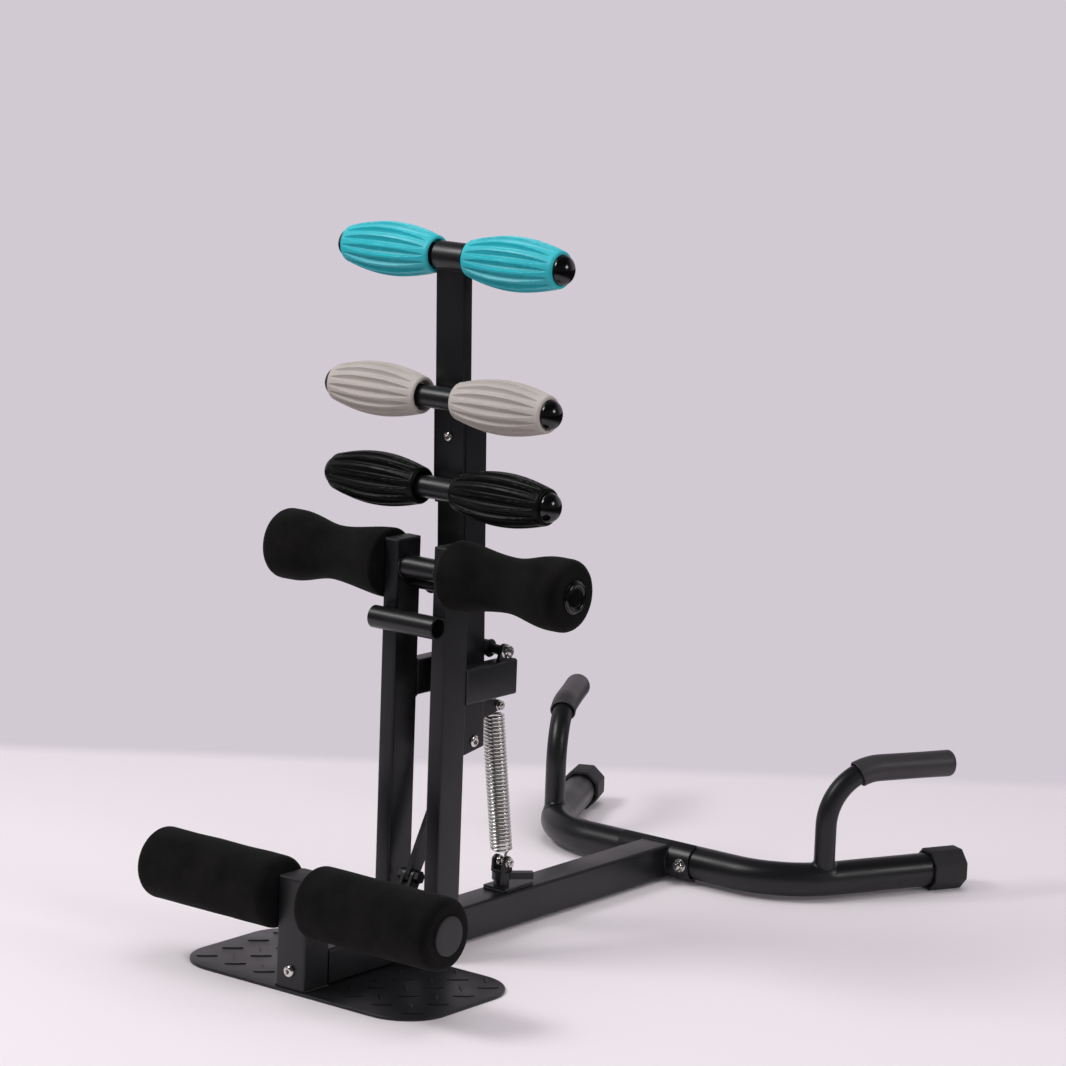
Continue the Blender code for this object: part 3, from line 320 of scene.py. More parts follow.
aim = (0.0, 0.25, 0.35)
soft_lamp("soft box", (-1.15, -1.2, 2.3), aim, (1.0, 0.8), 35.0)
soft_lamp("window on the right", (2.46, 0.92, 1.4), (0.0, 0.25, 0.6), (0.6, 0.5), 9.0)
soft_lamp("light from above", (0.2, 0.3, 3.0), aim, (2.2, 1.6), 22.0, mirrored=False)
soft_lamp("fill right", (3.0, -1.0, 1.5), aim, (1.2, 1.4), 14.0, mirrored=False)

# %% [markdown]
# ## Finish: satin powder coat
# The steel is powder coated: dry paint is sprayed on and baked. It flows
# into a satin black skin that never lies quite flat, with soft dimples
# about 2 mm across, called orange peel, and fine specks where grains of
# powder fused last. The eye sees pale, slightly broken reflections.

# %% Powder coat
powder_coat, tree = blank("satin black powder coat")
where = add(tree, "ShaderNodeTexCoord")
peel = speckle(tree, where, 2.0, 2.0)
specks = speckle(tree, where, 0.6, 3.0)
clouds = speckle(tree, where, 60.0, 3.0)
blacks = shades(tree, specks.outputs["Fac"], "0b0b0d", "19191c")
gloss = drift(tree, clouds.outputs["Fac"], 0.32, 0.42)
surface(tree, {"IOR": 1.5}, blacks, peel.outputs["Fac"], 0.16, 0.05, gloss)

# %% [markdown]
# ## Finish: foam rubber
# The leg rollers are tubes of NBR, a closed-cell rubber foam. Its cut skin
# is full of burst bubbles about a millimetre wide, so it has no gloss at
# all. Light that grazes it catches the rims of the bubbles, which makes
# the upper side look charcoal rather than black. Sheen does that.

# %% Foam
foam, tree = blank("NBR foam rubber")
where = add(tree, "ShaderNodeTexCoord")
pores = add(tree, "ShaderNodeTexVoronoi", {"Scale": grains(1.3), "Randomness": 1.0},
            {"Vector": where.outputs["Object"]})
fuzz = speckle(tree, where, 0.8, 4.0, Roughness=0.7)
patches = speckle(tree, where, 25.0, 4.0)
mottle = blend(tree, patches.outputs["Fac"], fuzz.outputs["Fac"], 0.45)
tones = shades(tree, mottle.outputs[0], "070706", "161413", (0.36, 0.66))
holes = blend(tree, pores.outputs["Distance"], fuzz.outputs["Fac"], 0.5)
rubber = {"Roughness": 0.95, "IOR": 1.5, "Specular IOR Level": 0.12,
          "Sheen Weight": 0.03, "Sheen Roughness": 0.5}
surface(tree, rubber, tones, holes.outputs[0], 0.65, 0.3)

# %% [markdown]
# ## Finish: the moulded rollers
# The massage rollers are EVA, a firm foamed plastic that is moulded in one
# colour right through. The mould leaves a closed satin skin with a faint
# grain. The colour drifts by a few per cent where the melt cooled slower,
# so each roller gets two close shades. Three rows, three colours, one way
# of making them: a function takes the shades.


# %% Moulded plastic in three colours
def moulded_eva(name, dark, light, roughness, shine=0.5):
    """A satin skin in two close shades. A lower shine reflects less."""
    made, tree = blank(name)
    where = add(tree, "ShaderNodeTexCoord")
    cooling = speckle(tree, where, 35.0, 2.0)
    grain = speckle(tree, where, 0.9, 3.0)
    both = blend(tree, cooling.outputs["Fac"], grain.outputs["Fac"], 0.3)
    shade = shades(tree, both.outputs[0], dark, light, (0.3, 0.7))
    gloss = drift(tree, grain.outputs["Fac"], roughness - 0.04, roughness + 0.05)
    surface(tree, {"IOR": 1.48, "Specular IOR Level": shine}, shade, grain.outputs["Fac"], 0.12, 0.06, gloss)
    return made


turquoise_eva = moulded_eva("turquoise moulded EVA", "22b0bc", "30bcc8", 0.42)
pale_grey_eva = moulded_eva("pale grey moulded EVA", "b5ada7", "beb6b0", 0.6, shine=0.35)
black_eva = moulded_eva("black moulded EVA", "060607", "0a0a0b", 0.42, shine=0.18)

# %% [markdown]
# ## Finish: small moulded parts
# Five more plastics and rubbers. Polished ABS makes the round caps shine,
# because the mould was polished. Vinyl dipped over a tube makes the grips,
# and hard rubber with a matt, slightly dusty skin makes the feet. The end
# caps are polypropylene, which always looks a little waxy and grey, and the
# buffer behind the mast is a pale rubber.


# %% Plastics and rubbers
def moulded_part(name, dark, light, roughness, size, strength, ior=1.5):
    """A skin with a grain of this size and strength. roughness is its least and its most."""
    made, tree = blank(name)
    where = add(tree, "ShaderNodeTexCoord")
    fine = speckle(tree, where, size, 4.0)
    broad = speckle(tree, where, 18.0, 4.0)
    both = blend(tree, broad.outputs["Fac"], fine.outputs["Fac"], 0.5)
    shade = shades(tree, both.outputs[0], dark, light, (0.3, 0.7))
    gloss = drift(tree, broad.outputs["Fac"], *roughness)
    surface(tree, {"IOR": ior}, shade, fine.outputs["Fac"], strength, 0.08, gloss)
    return made


polished_abs = moulded_part("polished black ABS", "060607", "0b0b0c", (0.12, 0.2), 6.0, 0.02, 1.53)
dipped_vinyl = moulded_part("dipped vinyl grip", "302d30", "3b383b", (0.42, 0.52), 1.6, 0.15)
hard_rubber = moulded_part("hard black rubber", "1e1c1d", "2b292b", (0.62, 0.78), 1.0, 0.5, 1.52)
cap_plastic = moulded_part("matt black polypropylene", "1b1a1b", "242325", (0.5, 0.6), 0.9, 0.12, 1.49)
pale_buffer = moulded_part("pale grey rubber", "85827e", "989590", (0.6, 0.75), 1.2, 0.3, 1.52)

# %% [markdown]
# ## Finish: bright zinc
# Bolts, nuts and the spring are zinc plated. The plating is thin and
# follows the drawn wire and the rolled thread beneath it, so it is bright
# but never a mirror, with small cloudy patches. It is a metal: its colour
# is the colour of its reflections.

# %% Zinc plate
zinc_plate, tree = blank("bright zinc plate")
where = add(tree, "ShaderNodeTexCoord")
clouds = speckle(tree, where, 3.0, 4.0)
scratches = speckle(tree, where, 0.7, 2.0)
greys = shades(tree, clouds.outputs["Fac"], "d6d5d0", "efeee9")
gloss = drift(tree, clouds.outputs["Fac"], 0.16, 0.27)
surface(tree, {"Metallic": 1.0}, greys, scratches.outputs["Fac"], 0.06, 0.03, gloss)
print("materials, with the frame's own:", len(bpy.data.materials))

# %% [markdown]
# ## Tools for the pieces
# Most pieces are one of three things: a body of revolution, a square tube
# or a bent round tube. Each gets a small tool built on Blender's own mesh
# operators. The first tool turns a finished mesh into an object, lets it
# ride on the body that carries it and hides the plain solid that it stands
# for.


# %% Finish a piece
def finish(name, bm, body, look, slot, *nodes, smooth=32.0, place=None):
    """Makes the object. place turns it into position before that, so its origin stays at zero."""
    if place is not None:
        bmesh.ops.transform(bm, matrix=place, verts=bm.verts)
    bmesh.ops.remove_doubles(bm, verts=bm.verts, dist=merge)
    bmesh.ops.recalc_face_normals(bm, faces=bm.faces)
    mesh = bpy.data.meshes.new(name)
    bm.to_mesh(mesh)
    bm.free()
    mesh.shade_smooth()
    mesh.set_sharp_from_angle(angle=radians(smooth))
    mesh.materials.append(look)
    piece = bpy.data.objects.new(name, mesh)
    bpy.context.scene.collection.objects.link(piece)
    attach(piece, body)
    if nodes:
        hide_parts(*nodes)
    return piece


# %% Turn a profile on a lathe
def along_x(centre, way):
    """Places a turned piece with its own X along the world's X, or against it."""
    return Matrix.Translation(centre) @ Matrix.Rotation(0.0 if way > 0 else pi, 4, "Z")


def lying(origin, way):
    """Places a turned piece with its own X along any direction that isn't upright."""
    return Matrix.Translation(origin) @ Vector(way).to_track_quat("X", "Z").to_matrix().to_4x4()


def lathe(bm, profile, steps=64, place=None, closed=False):
    """Spins a chain of (along, radius) points about the X axis. A closed chain makes a ring."""
    points = [bm.verts.new((along, radius, 0.0)) for along, radius in profile]
    pairs = list(zip(points, points[1:])) + ([(points[-1], points[0])] if closed else [])
    chain = [bm.edges.new(pair) for pair in pairs]
    before = set(bm.verts) - set(points)
    bmesh.ops.spin(bm, geom=points + chain, cent=(0, 0, 0), axis=(1, 0, 0), dvec=(0, 0, 0),
                   angle=2 * pi, steps=steps, use_merge=True, use_duplicate=False)
    fresh = [v for v in bm.verts if v not in before]
    bmesh.ops.remove_doubles(bm, verts=fresh, dist=merge)
    fresh = [v for v in bm.verts if v not in before]
    if place is not None:
        bmesh.ops.transform(bm, matrix=place, verts=fresh)
    return fresh


def rounded(corner, before, after, steps=6):
    """The points of a quarter round from one point to the other, bulging towards the corner."""
    points = []
    for k in range(steps + 1):
        angle = pi / 2 * k / steps
        points.append(tuple(c + (a - c) * (1 - sin(angle)) + (b - c) * (1 - cos(angle))
                            for c, a, b in zip(corner, before, after)))
    return points


# %% Square tube and plain plate
mouth_depth = 45.0 * mm


def slab(bm, low, high):
    """A box between two corners, to be bevelled."""
    low, high = Vector(low), Vector(high)
    made = bmesh.ops.create_cube(bm, size=1.0)["verts"]
    bmesh.ops.scale(bm, vec=high - low, verts=made)
    bmesh.ops.translate(bm, vec=(low + high) / 2, verts=made)
    return made


def soften(bm, edges, width, segments=3):
    """Rounds these edges."""
    bmesh.ops.bevel(bm, geom=edges, offset=width, offset_type="OFFSET", segments=segments, profile=0.5,
                    affect="EDGES", material=-1, clamp_overlap=True)


def edges_along(verts, axis):
    """The straight edges between these vertices that run along X, Y or Z."""
    number = "XYZ".index(axis)
    found = {e for v in verts for e in v.link_edges}
    return [e for e in found if abs((e.verts[1].co - e.verts[0].co).normalized()[number]) > 0.999]


def square_tube(bm, low, high, axis, corner=3.0 * mm, mouths=()):
    """A tube with round corners. mouths names the open ends: -1 for the low end, 1 for the high end."""
    before = set(bm.verts)
    made = slab(bm, low, high)
    soften(bm, edges_along(made, axis), corner, 5)
    number = "XYZ".index(axis)
    fresh = [v for v in bm.verts if v not in before]
    faces = {f for v in fresh for f in v.link_faces}
    for end in [f for f in faces if abs(f.normal[number]) > 0.999]:
        way = 1 if end.normal[number] > 0 else -1
        if way not in mouths:
            continue
        bmesh.ops.inset_region(bm, faces=[end], thickness=wall, use_even_offset=True)
        inward = [0.0, 0.0, 0.0]
        inward[number] = -way * mouth_depth
        pushed = bmesh.ops.extrude_discrete_faces(bm, faces=[end])["faces"]
        bmesh.ops.translate(bm, vec=inward, verts=pushed[0].verts)
    return [v for v in bm.verts if v not in before]


# %% Bent round tube
class TubeBender:
    """Pushes a ring along a route of straight runs and bends, as a pipe bender does."""

    def __init__(self, bm, start, heading, size, sides):
        self.bm = bm
        self.place = Vector(start)
        self.heading = Vector(heading).normalized()
        stand = Matrix.Translation(self.place) @ self.heading.to_track_quat("Z", "Y").to_matrix().to_4x4()
        ring = bmesh.ops.create_circle(bm, cap_ends=True, segments=sides, radius=size / 2,
                                       matrix=stand)["verts"]
        self.ring = list({e for v in ring for e in v.link_edges})

    def run(self, length):
        """Goes straight on."""
        made = bmesh.ops.extrude_edge_only(self.bm, edges=self.ring)["geom"]
        verts = [g for g in made if isinstance(g, bmesh.types.BMVert)]
        bmesh.ops.translate(self.bm, vec=self.heading * length, verts=verts)
        held = set(verts)
        self.ring = [g for g in made if isinstance(g, bmesh.types.BMEdge) and set(g.verts) <= held]
        self.place = self.place + self.heading * length

    def bend(self, axis, radius, angle, steps):
        """Bends towards axis x heading, about a centre that far away."""
        axis = Vector(axis).normalized()
        centre = self.place + axis.cross(self.heading) * radius
        verts = list({v for e in self.ring for v in e.verts})
        made = bmesh.ops.spin(self.bm, geom=verts + self.ring, cent=centre, axis=axis, dvec=(0, 0, 0),
                              angle=angle, steps=steps, use_merge=False, use_duplicate=False)["geom_last"]
        self.ring = [g for g in made if isinstance(g, bmesh.types.BMEdge)]
        turning = Matrix.Rotation(angle, 3, axis)
        self.place = centre + turning @ (self.place - centre)
        self.heading = turning @ self.heading

    def close(self):
        """Fills the open end."""
        bmesh.ops.contextual_create(self.bm, geom=self.ring)


# %% [markdown]
# ## Bolts and nuts
# A real nut starts as a hexagon bar and has both faces turned, which leaves
# the curved bright edges that show on every corner. Here a chamfered ring
# is spun first and then every point outside the hexagon is pulled in to
# its flats. A button head has a hexagon socket, made in the same way.


# %% Nut, threaded end and button head
def pull_to_hexagon(verts, flats):
    """Pulls points in to a hexagon about the X axis, if they lie outside it."""
    for v in verts:
        out = sqrt(v.co.y ** 2 + v.co.z ** 2)
        limit = flats / 2 / cos(atan2(v.co.z, v.co.y) % (pi / 3) - pi / 6)
        if out > limit:
            v.co.y *= limit / out
            v.co.z *= limit / out


def nut(bm, flats, thickness, bore):
    """A hexagon nut, flats across, on the X axis."""
    corner, face = flats / 2 / cos(pi / 6), flats * 0.475
    profile = [(0.0, bore), (0.0, face), (thickness * 0.14, corner),
               (thickness * 0.86, corner), (thickness, face), (thickness, bore)]
    made = lathe(bm, profile, 72, closed=True)
    pull_to_hexagon(made, flats)
    return made


def washer(bm, size, bore, thickness):
    """A washer with a soft outer edge."""
    soft = thickness * 0.25
    return lathe(bm, [(0.0, bore), (0.0, size / 2), (thickness - soft, size / 2),
                      (thickness, size / 2 - soft), (thickness, bore)], 48, closed=True)


def thread(bm, radius, length):
    """A rod with fine grooves for the thread and a chamfered tip."""
    pitch, groove, cut = 1.1 * mm, 0.45 * mm, length - 1.0 * mm
    steps = max(2, round(cut / pitch * 2))
    profile = [(0.0, 0.0), (0.0, radius)]
    profile += [(cut * k / steps, radius - (groove if k % 2 else 0.0)) for k in range(1, steps)]
    profile += [(length - 0.8 * mm, radius - 0.2 * mm), (length, radius - 1.0 * mm), (length, 0.0)]
    return lathe(bm, profile, 32)


def button_head(bm, radius, height, socket, depth):
    """A low round head with a hexagon socket in its top."""
    corner = socket / 2 / cos(pi / 6)
    rim, brim = corner + 0.7 * mm, 0.4 * mm
    profile = [(0.0, 0.0), (0.0, radius - 0.3 * mm), (brim, radius)]
    profile += [(brim + (height - brim) * sin(pi / 2 * k / 8), rim + (radius - rim) * cos(pi / 2 * k / 8))
                for k in range(1, 9)]
    profile += [(height - 0.3 * mm, corner), (height - depth, corner), (height - depth, 0.0)]
    inside = [v for v in lathe(bm, profile, 72)
              if v.co.x < height - 0.1 * mm and sqrt(v.co.y ** 2 + v.co.z ** 2) < corner + 0.01 * mm]
    pull_to_hexagon(inside, socket)


def shank(bm, start, end, size):
    """A plain round rod between two places on the X axis."""
    lathe(bm, [(start, 0.0), (start, size / 2), (end, size / 2), (end, 0.0)], 32)


def through_bolt(name, node, body, seat, way, grip, size, place=None, head=0.56, nut_size=0.8, tip=3.0 * mm):
    """A bolt whose head sits at seat and points along way. Its nut is grip away on the far side."""
    bm = bmesh.new()
    button_head(bm, size * 0.86, size * head, size * 0.62, size * head * 0.8)
    shank(bm, 0.2 * mm, -grip, size)
    bore = size * 0.45
    ends = [*washer(bm, size * 1.95, bore, 1.2 * mm), *nut(bm, size * 1.6, size * nut_size, bore),
            *thread(bm, size * 0.46, size * nut_size + tip)]
    far_side = Matrix.Translation((-grip, 0, 0)) @ Matrix.Rotation(pi, 4, "Z")
    bmesh.ops.transform(bm, matrix=far_side, verts=ends)
    stand = lying(seat, way)
    finish(name, bm, body, zinc_plate, "zinc", node, place=place @ stand if place else stand, smooth=28.0)


# %% [markdown]
# ## The foot plate and its tread
# The plate is cut from steel sheet with raised tread marks rolled into it.
# A slab with bevelled corners makes the plate. Each tread mark is a lens
# with sloping sides, less than a millimetre high. One lens is made and
# then set down in two crossing lattices, as a rolling mill does.

# %% Foot plate
low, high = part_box("foot_plate")
bm = bmesh.new()
plate = slab(bm, low, high)
plate_corner = 54.0 * mm
soften(bm, edges_along(plate, "Z"), plate_corner, 16)
rims = [e for e in bm.edges if min(v.co.z for v in e.verts) > high.z - hair]
soften(bm, rims, 0.8 * mm, 3)
finish("tread_foot_plate", bm, "base", powder_coat, "black_coat", "foot_plate", smooth=40.0)

# %% Tread marks
mark_length, mark_width, mark_rise, mark_sunk = 25.0 * mm, 4.6 * mm, 0.9 * mm, 0.2 * mm
mark_pitch = 42.0 * mm
upright_low, upright_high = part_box("front_upright")


def tread_mark(bm, x, y, angle):
    """One raised lens on the plate's top."""
    place = Matrix.Translation((x, y, high.z)) @ Matrix.Rotation(angle, 4, "Z")
    ring = bmesh.ops.create_circle(bm, cap_ends=True, segments=16, radius=1.0)["verts"]
    for v in ring:
        reach, way = v.co.x, 1 if v.co.y > 0 else -1
        v.co = Vector((reach * mark_length / 2, (1 - reach * reach) * mark_width / 2 * way, -mark_sunk))
    face = ring[0].link_faces[0]
    lifted = bmesh.ops.extrude_discrete_faces(bm, faces=[face])["faces"][0]
    bmesh.ops.translate(bm, vec=(0, 0, mark_rise + mark_sunk), verts=lifted.verts)
    bmesh.ops.scale(bm, vec=(0.86, 0.42, 1.0), verts=lifted.verts)
    bmesh.ops.transform(bm, matrix=place, verts=list(set(ring) | set(lifted.verts)))


def on_the_plate(x, y):
    """True where a whole mark fits inside the plate's edge and clear of the upright."""
    half_x, half_y = 160.0 * mm, 84.0 * mm
    corner_x, corner_y, corner_radius = 118.5 * mm, 41.75 * mm, 44.0 * mm
    corner = Vector((abs(x) - corner_x, abs(y) - corner_y))
    cut_off = corner.x > 0 and corner.y > 0 and corner.length > corner_radius
    under_upright = abs(x) < 31.0 * mm and y < upright_high.y + 12.0 * mm
    return abs(x) < half_x and abs(y) < half_y and not cut_off and not under_upright


bm = bmesh.new()
count = 0
for row in range(-3, 4):
    for column in range(-5, 6):
        for shift, angle in ((0.0, radians(45)), (0.5, radians(-45))):
            x = (column + shift) * mark_pitch + 22.0 * mm
            y = (row + shift) * mark_pitch + 20.0 * mm
            if on_the_plate(x, y):
                tread_mark(bm, x, y, angle)
                count += 1
finish("tread_marks", bm, "base", powder_coat, "black_coat", smooth=30.0)
print("tread marks:", count)

# %% [markdown]
# ## The base beam and the front upright
# Both are 40 mm square steel tube. Its corners aren't sharp: the strip is
# rolled into a tube round a radius of about 3 mm, and that radius is what
# catches the light. The beam's rear end is notched to fit round the bar
# that it is welded to, so the tube is sliced into bands and the end of
# each band is moved onto the bar's curve.

# %% Base beam
low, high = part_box("base_beam")
notch = 23.45 * mm
bm = bmesh.new()
square_tube(bm, low, (high.x, bar_y - 12.0 * mm, high.z), "Y")
bands = 12
for k in range(1, bands):
    height = low.z + (high.z - low.z) * k / bands
    everything = bm.verts[:] + bm.edges[:] + bm.faces[:]
    bmesh.ops.bisect_plane(bm, geom=everything, plane_co=(0, 0, height), plane_no=(0, 0, 1))
for v in bm.verts:
    if v.co.y > bar_y - 13.0 * mm:
        v.co.y = bar_y - sqrt(notch ** 2 - (v.co.z - bar_z) ** 2)
finish("square_base_beam", bm, "base", powder_coat, "black_coat", "base_beam")

# %% Front upright and its cap
bm = bmesh.new()
square_tube(bm, upright_low, upright_high, "Z", mouths=(1,))
finish("short_front_upright", bm, "base", powder_coat, "black_coat", "front_upright")


def moulded_cap(name, node, top):
    """A cap on a tube's mouth: a slab with round corners and a softened top edge."""
    low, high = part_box(node)
    bm = bmesh.new()
    made = slab(bm, (low.x, low.y, top + gap), high)
    soften(bm, edges_along(made, "Z"), 3.0 * mm, 5)
    rims = [e for e in bm.edges if min(v.co.z for v in e.verts) > high.z - hair]
    soften(bm, rims, 1.2 * mm, 3)
    finish(name, bm, "base", cap_plastic, "black_rubber", node)


moulded_cap("front_upright_end_cap", "front_upright_cap", upright_high.z)
print("upright top in mm:", round(upright_high.z / mm, 1))

# %% [markdown]
# ## The posts with their arms
# Each post is a 20 by 40 mm tube with a short arm welded to its back. The
# arm carries the mast's pivot on a small ear. Two tubes, a plate and a
# turned boss are set into each other, and a weld bead covers the seam. The
# hidden ends inside a seam stay closed.

# %% Posts
post_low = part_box("post_right")[0]
arm_low_z, arm_high_z = 284.5 * mm, 324.5 * mm
post_front, post_rear = 96.05 * mm, 136.05 * mm
post_inner, post_outer = 25.0 * mm, 45.0 * mm
arm_rear = 223.55 * mm
post_top = 461.2 * mm


def ear_plate(bm, side):
    """The pivot's ear: a slab whose upper end is rounded about the pivot, with a boss inside."""
    x = sorted((side * 38.0 * mm, side * 42.0 * mm))
    radius, foot, boss = 8.0 * mm, 11.2 * mm, 5.6 * mm
    made = slab(bm, (x[0], mast_pivot.y - foot, arm_high_z - 1.0 * mm),
                (x[1], mast_pivot.y + foot, mast_pivot.z))
    for v in made:
        if v.co.z > mast_pivot.z - hair:
            v.co.y = mast_pivot.y + (radius if v.co.y > mast_pivot.y else -radius)
    disc = Matrix.Translation((0.0, mast_pivot.y, mast_pivot.z))
    lathe(bm, [(x[0], 0.0), (x[0], radius), (x[1], radius), (x[1], 0.0)], 40, disc)
    lathe(bm, [(side * 22.3 * mm, 0.0), (side * 22.3 * mm, boss), (side * 39.0 * mm, boss)], 32, disc)


for side, hand in hands:
    x_low, x_high = sorted((side * post_inner, side * post_outer))
    bm = bmesh.new()
    square_tube(bm, (x_low, post_front, post_low.z), (x_high, post_rear, post_top), "Z", mouths=(1,))
    square_tube(bm, (x_low, post_rear - 1.0 * mm, arm_low_z), (x_high, arm_rear, arm_high_z), "Y",
                mouths=(1,))
    pad_low, pad_high = sorted((side * 20.3 * mm, side * 26.0 * mm))
    slab(bm, (pad_low, post_front + 2.0 * mm, post_low.z), (pad_high, post_rear - 2.0 * mm, 41.7 * mm))
    ear_plate(bm, side)
    finish(f"{hand}_post_with_arm", bm, "base", powder_coat, "black_coat", f"post_{hand}")
    moulded_cap(f"{hand}_post_end_cap", f"post_cap_{hand}", post_top)

# %% [markdown]
# ## Weld beads
# A weld is laid as a row of small overlapping puddles, so its bead has
# ripples across it, about 3 mm apart. A ring is pushed along the seam in
# short steps, and each step is a little wider or narrower than the last.
# The beads carry the same coat as the tubes.


# %% Lay the beads
ripple = 3.0 * mm


def weld_bead(bm, *points, size=2.6 * mm):
    """A rippled bead along straight runs between points."""
    for start, end in zip(points, points[1:]):
        start, end = Vector(start), Vector(end)
        run = end - start
        steps = max(6, round(run.length / ripple) * 5)
        bender = TubeBender(bm, start, run, size, 10)
        width = 1.0
        for k in range(1, steps + 1):
            bender.run(run.length / steps)
            wave = 1.0 + 0.2 * sin(2 * pi * k / 5) + 0.1 * noise.noise(bender.place * 260)
            verts = list({v for e in bender.ring for v in e.verts})
            here = Matrix.Translation(bender.place)
            stretch = here @ Matrix.Scale(wave / width, 4) @ Matrix.Translation(-bender.place)
            bmesh.ops.transform(bm, matrix=stretch, verts=verts)
            width = wave
        bender.close()


def cross_bead(bm, half, y, z, size=2.6 * mm):
    """A straight bead across the middle, from one side to the other."""
    weld_bead(bm, (-half, y, z), (half, y, z), size=size)


def ring_bead(bm, centre, way, radius, size=2.8 * mm):
    """A rippled bead round a tube."""
    ripples = round(2 * pi * radius / ripple)
    circle = [(size / 2 * cos(2 * pi * k / 10), radius + size / 2 * sin(2 * pi * k / 10)) for k in range(10)]
    made = lathe(bm, circle, ripples * 6, closed=True)
    for v in made:
        angle = atan2(v.co.z, v.co.y)
        core = Vector((0.0, radius * cos(angle), radius * sin(angle)))
        v.co = core + (v.co - core) * (1.0 + 0.2 * sin(ripples * angle))
    bmesh.ops.transform(bm, matrix=lying(centre, way), verts=made)


beam_top_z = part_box("base_beam")[1].z
bm = bmesh.new()
for side in (-1, 1):
    seam_y = post_rear + 0.2 * mm
    for x in (side * 25.4 * mm, side * 44.6 * mm):
        weld_bead(bm, (x, seam_y, arm_low_z + 1.0 * mm), (x, seam_y, arm_high_z - 1.0 * mm))
    for z in (arm_low_z, arm_high_z):
        weld_bead(bm, (side * 26.0 * mm, seam_y, z), (side * 44.0 * mm, seam_y, z))
    ear_half, seam_z = 10.5 * mm, arm_high_z + 0.2 * mm
    for x in (side * 37.7 * mm, side * 42.3 * mm):
        weld_bead(bm, (x, mast_pivot.y - ear_half, seam_z), (x, mast_pivot.y + ear_half, seam_z),
                  size=2.0 * mm)
    ring_bead(bm, (side * 24.7 * mm, knee_axis.y, knee_axis.z), (1, 0, 0), 13.2 * mm)
    x, z = side * 22.4 * mm, 42.2 * mm
    weld_bead(bm, (x, post_front + 3.0 * mm, z), (x, post_rear - 3.0 * mm, z))
    seam_y = post_front - 0.8 * mm
    for z in (370.6 * mm, 386.0 * mm):
        weld_bead(bm, (side * 26.0 * mm, seam_y, z), (side * 44.0 * mm, seam_y, z))
finish("weld_beads_on_posts", bm, "base", powder_coat, "black_coat", smooth=60.0)

bm = bmesh.new()
seam_radius, seam_z = 23.3 * mm, beam_top_z + 0.9 * mm
seam = [(bar_y - seam_radius * cos(radians(a)), bar_z + seam_radius * sin(radians(a)))
        for a in (56, 38, 20, 2, -16, -34, -52)]
anchor_ends = [corner.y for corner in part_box("spring_anchor")]
bracket_ends = [corner.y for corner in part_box("stay_bracket")]
for side in (-1, 1):
    weld_bead(bm, *[(side * 20.3 * mm, y, z) for y, z in seam])
    for (y_low, y_high), half in ((anchor_ends, 16.0 * mm), (bracket_ends, 15.0 * mm)):
        x = side * half
        weld_bead(bm, (x, y_low + 1.0 * mm, seam_z), (x, y_high - 1.0 * mm, seam_z), size=2.2 * mm)
    x, z = side * 20.2 * mm, upright_low.z + 0.4 * mm
    weld_bead(bm, (x, upright_low.y + 1.0 * mm, z), (x, upright_high.y - 1.0 * mm, z))
cross_bead(bm, 19.0 * mm, bar_y - 12.6 * mm, beam_top_z + 0.1 * mm)
for y in anchor_ends:
    cross_bead(bm, 15.0 * mm, y, seam_z, 2.2 * mm)
finish("weld_beads_on_beam", bm, "base", powder_coat, "black_coat", smooth=60.0)

# %% [markdown]
# ## Axles
# The rollers turn on plain steel tubes. A lathe profile that runs along
# the outside and back along the bore gives a tube with a real wall, and a
# small round at each mouth.


# %% Axles and the cross bar
def straight_tube(name, node, size, body):
    """A tube as long as its measured part, with a real bore."""
    low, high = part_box(node)
    half, r, soft = (high.x - low.x) / 2, size / 2, 0.4 * mm
    profile = [(-half, r - soft), (-half + soft, r), (half - soft, r), (half, r - soft),
               (half, r - wall), (-half, r - wall)]
    bm = bmesh.new()
    lathe(bm, profile, 56, Matrix.Translation(middle(node)), closed=True)
    finish(name, bm, body, powder_coat, "black_coat", node)


straight_tube("ankle_roller_axle", "ankle_axle", 20.0 * mm, "base")
straight_tube("knee_roller_axle", "seat_axle", axle_size, "base")
straight_tube("open_cross_bar", "cross_bar", axle_size, "base")
for row in row_names:
    straight_tube(f"{row}_massage_axle", f"{row}_axle", axle_size, "mast")

# %% [markdown]
# ## The foam leg rollers
# The ankle rollers are straight foam tubes with rounded ends. The knee
# rollers have a waist where the legs lie. Each is turned from a smooth
# profile and then loosened a little: a slow noise pushes the skin in and
# out by a fraction of a millimetre, since cut foam is never true. The
# turned foams are made 0.4 mm smaller than the real ones, so that the
# noise never takes them past the measured size.


# %% Ankle and knee foams
foam_radius, loose, slow = 40.0 * mm, 0.4 * mm, 28.0
full = foam_radius - loose


def knee_radius(share):
    """The waisted foam's radius: share is 0 at the post and 1 at the outer end."""
    waist, waist_at, shoulder = 30.5 * mm, 0.48, 0.86
    if share < waist_at:
        return waist + (foam_radius * 0.97 - waist) * cos(pi / 2 * share / waist_at) ** 2
    rise = min(1.0, (share - waist_at) / (shoulder - waist_at))
    return waist + (foam_radius - waist) * sin(pi / 2 * rise) ** 2


def foam_roller(name, node, outline, axle, side, bore):
    """Turns a foam from (along, radius) points along its outside, then loosens its skin."""
    axis = Vector((0.0, axle.y, axle.z))
    start, end = outline[0][0], outline[-1][0]
    profile = [(start, bore)] + outline + [(end, bore)]
    bm = bmesh.new()
    lathe(bm, profile, 96, along_x(axis, side), closed=True)
    for v in bm.verts:
        out = Vector((0.0, v.co.y, v.co.z)) - axis
        if out.length > bore + 1.0 * mm:
            v.co += out.normalized() * noise.noise(v.co * slow) * 0.5 * mm
    finish(name, bm, node, foam, "black_foam", node, smooth=60.0)


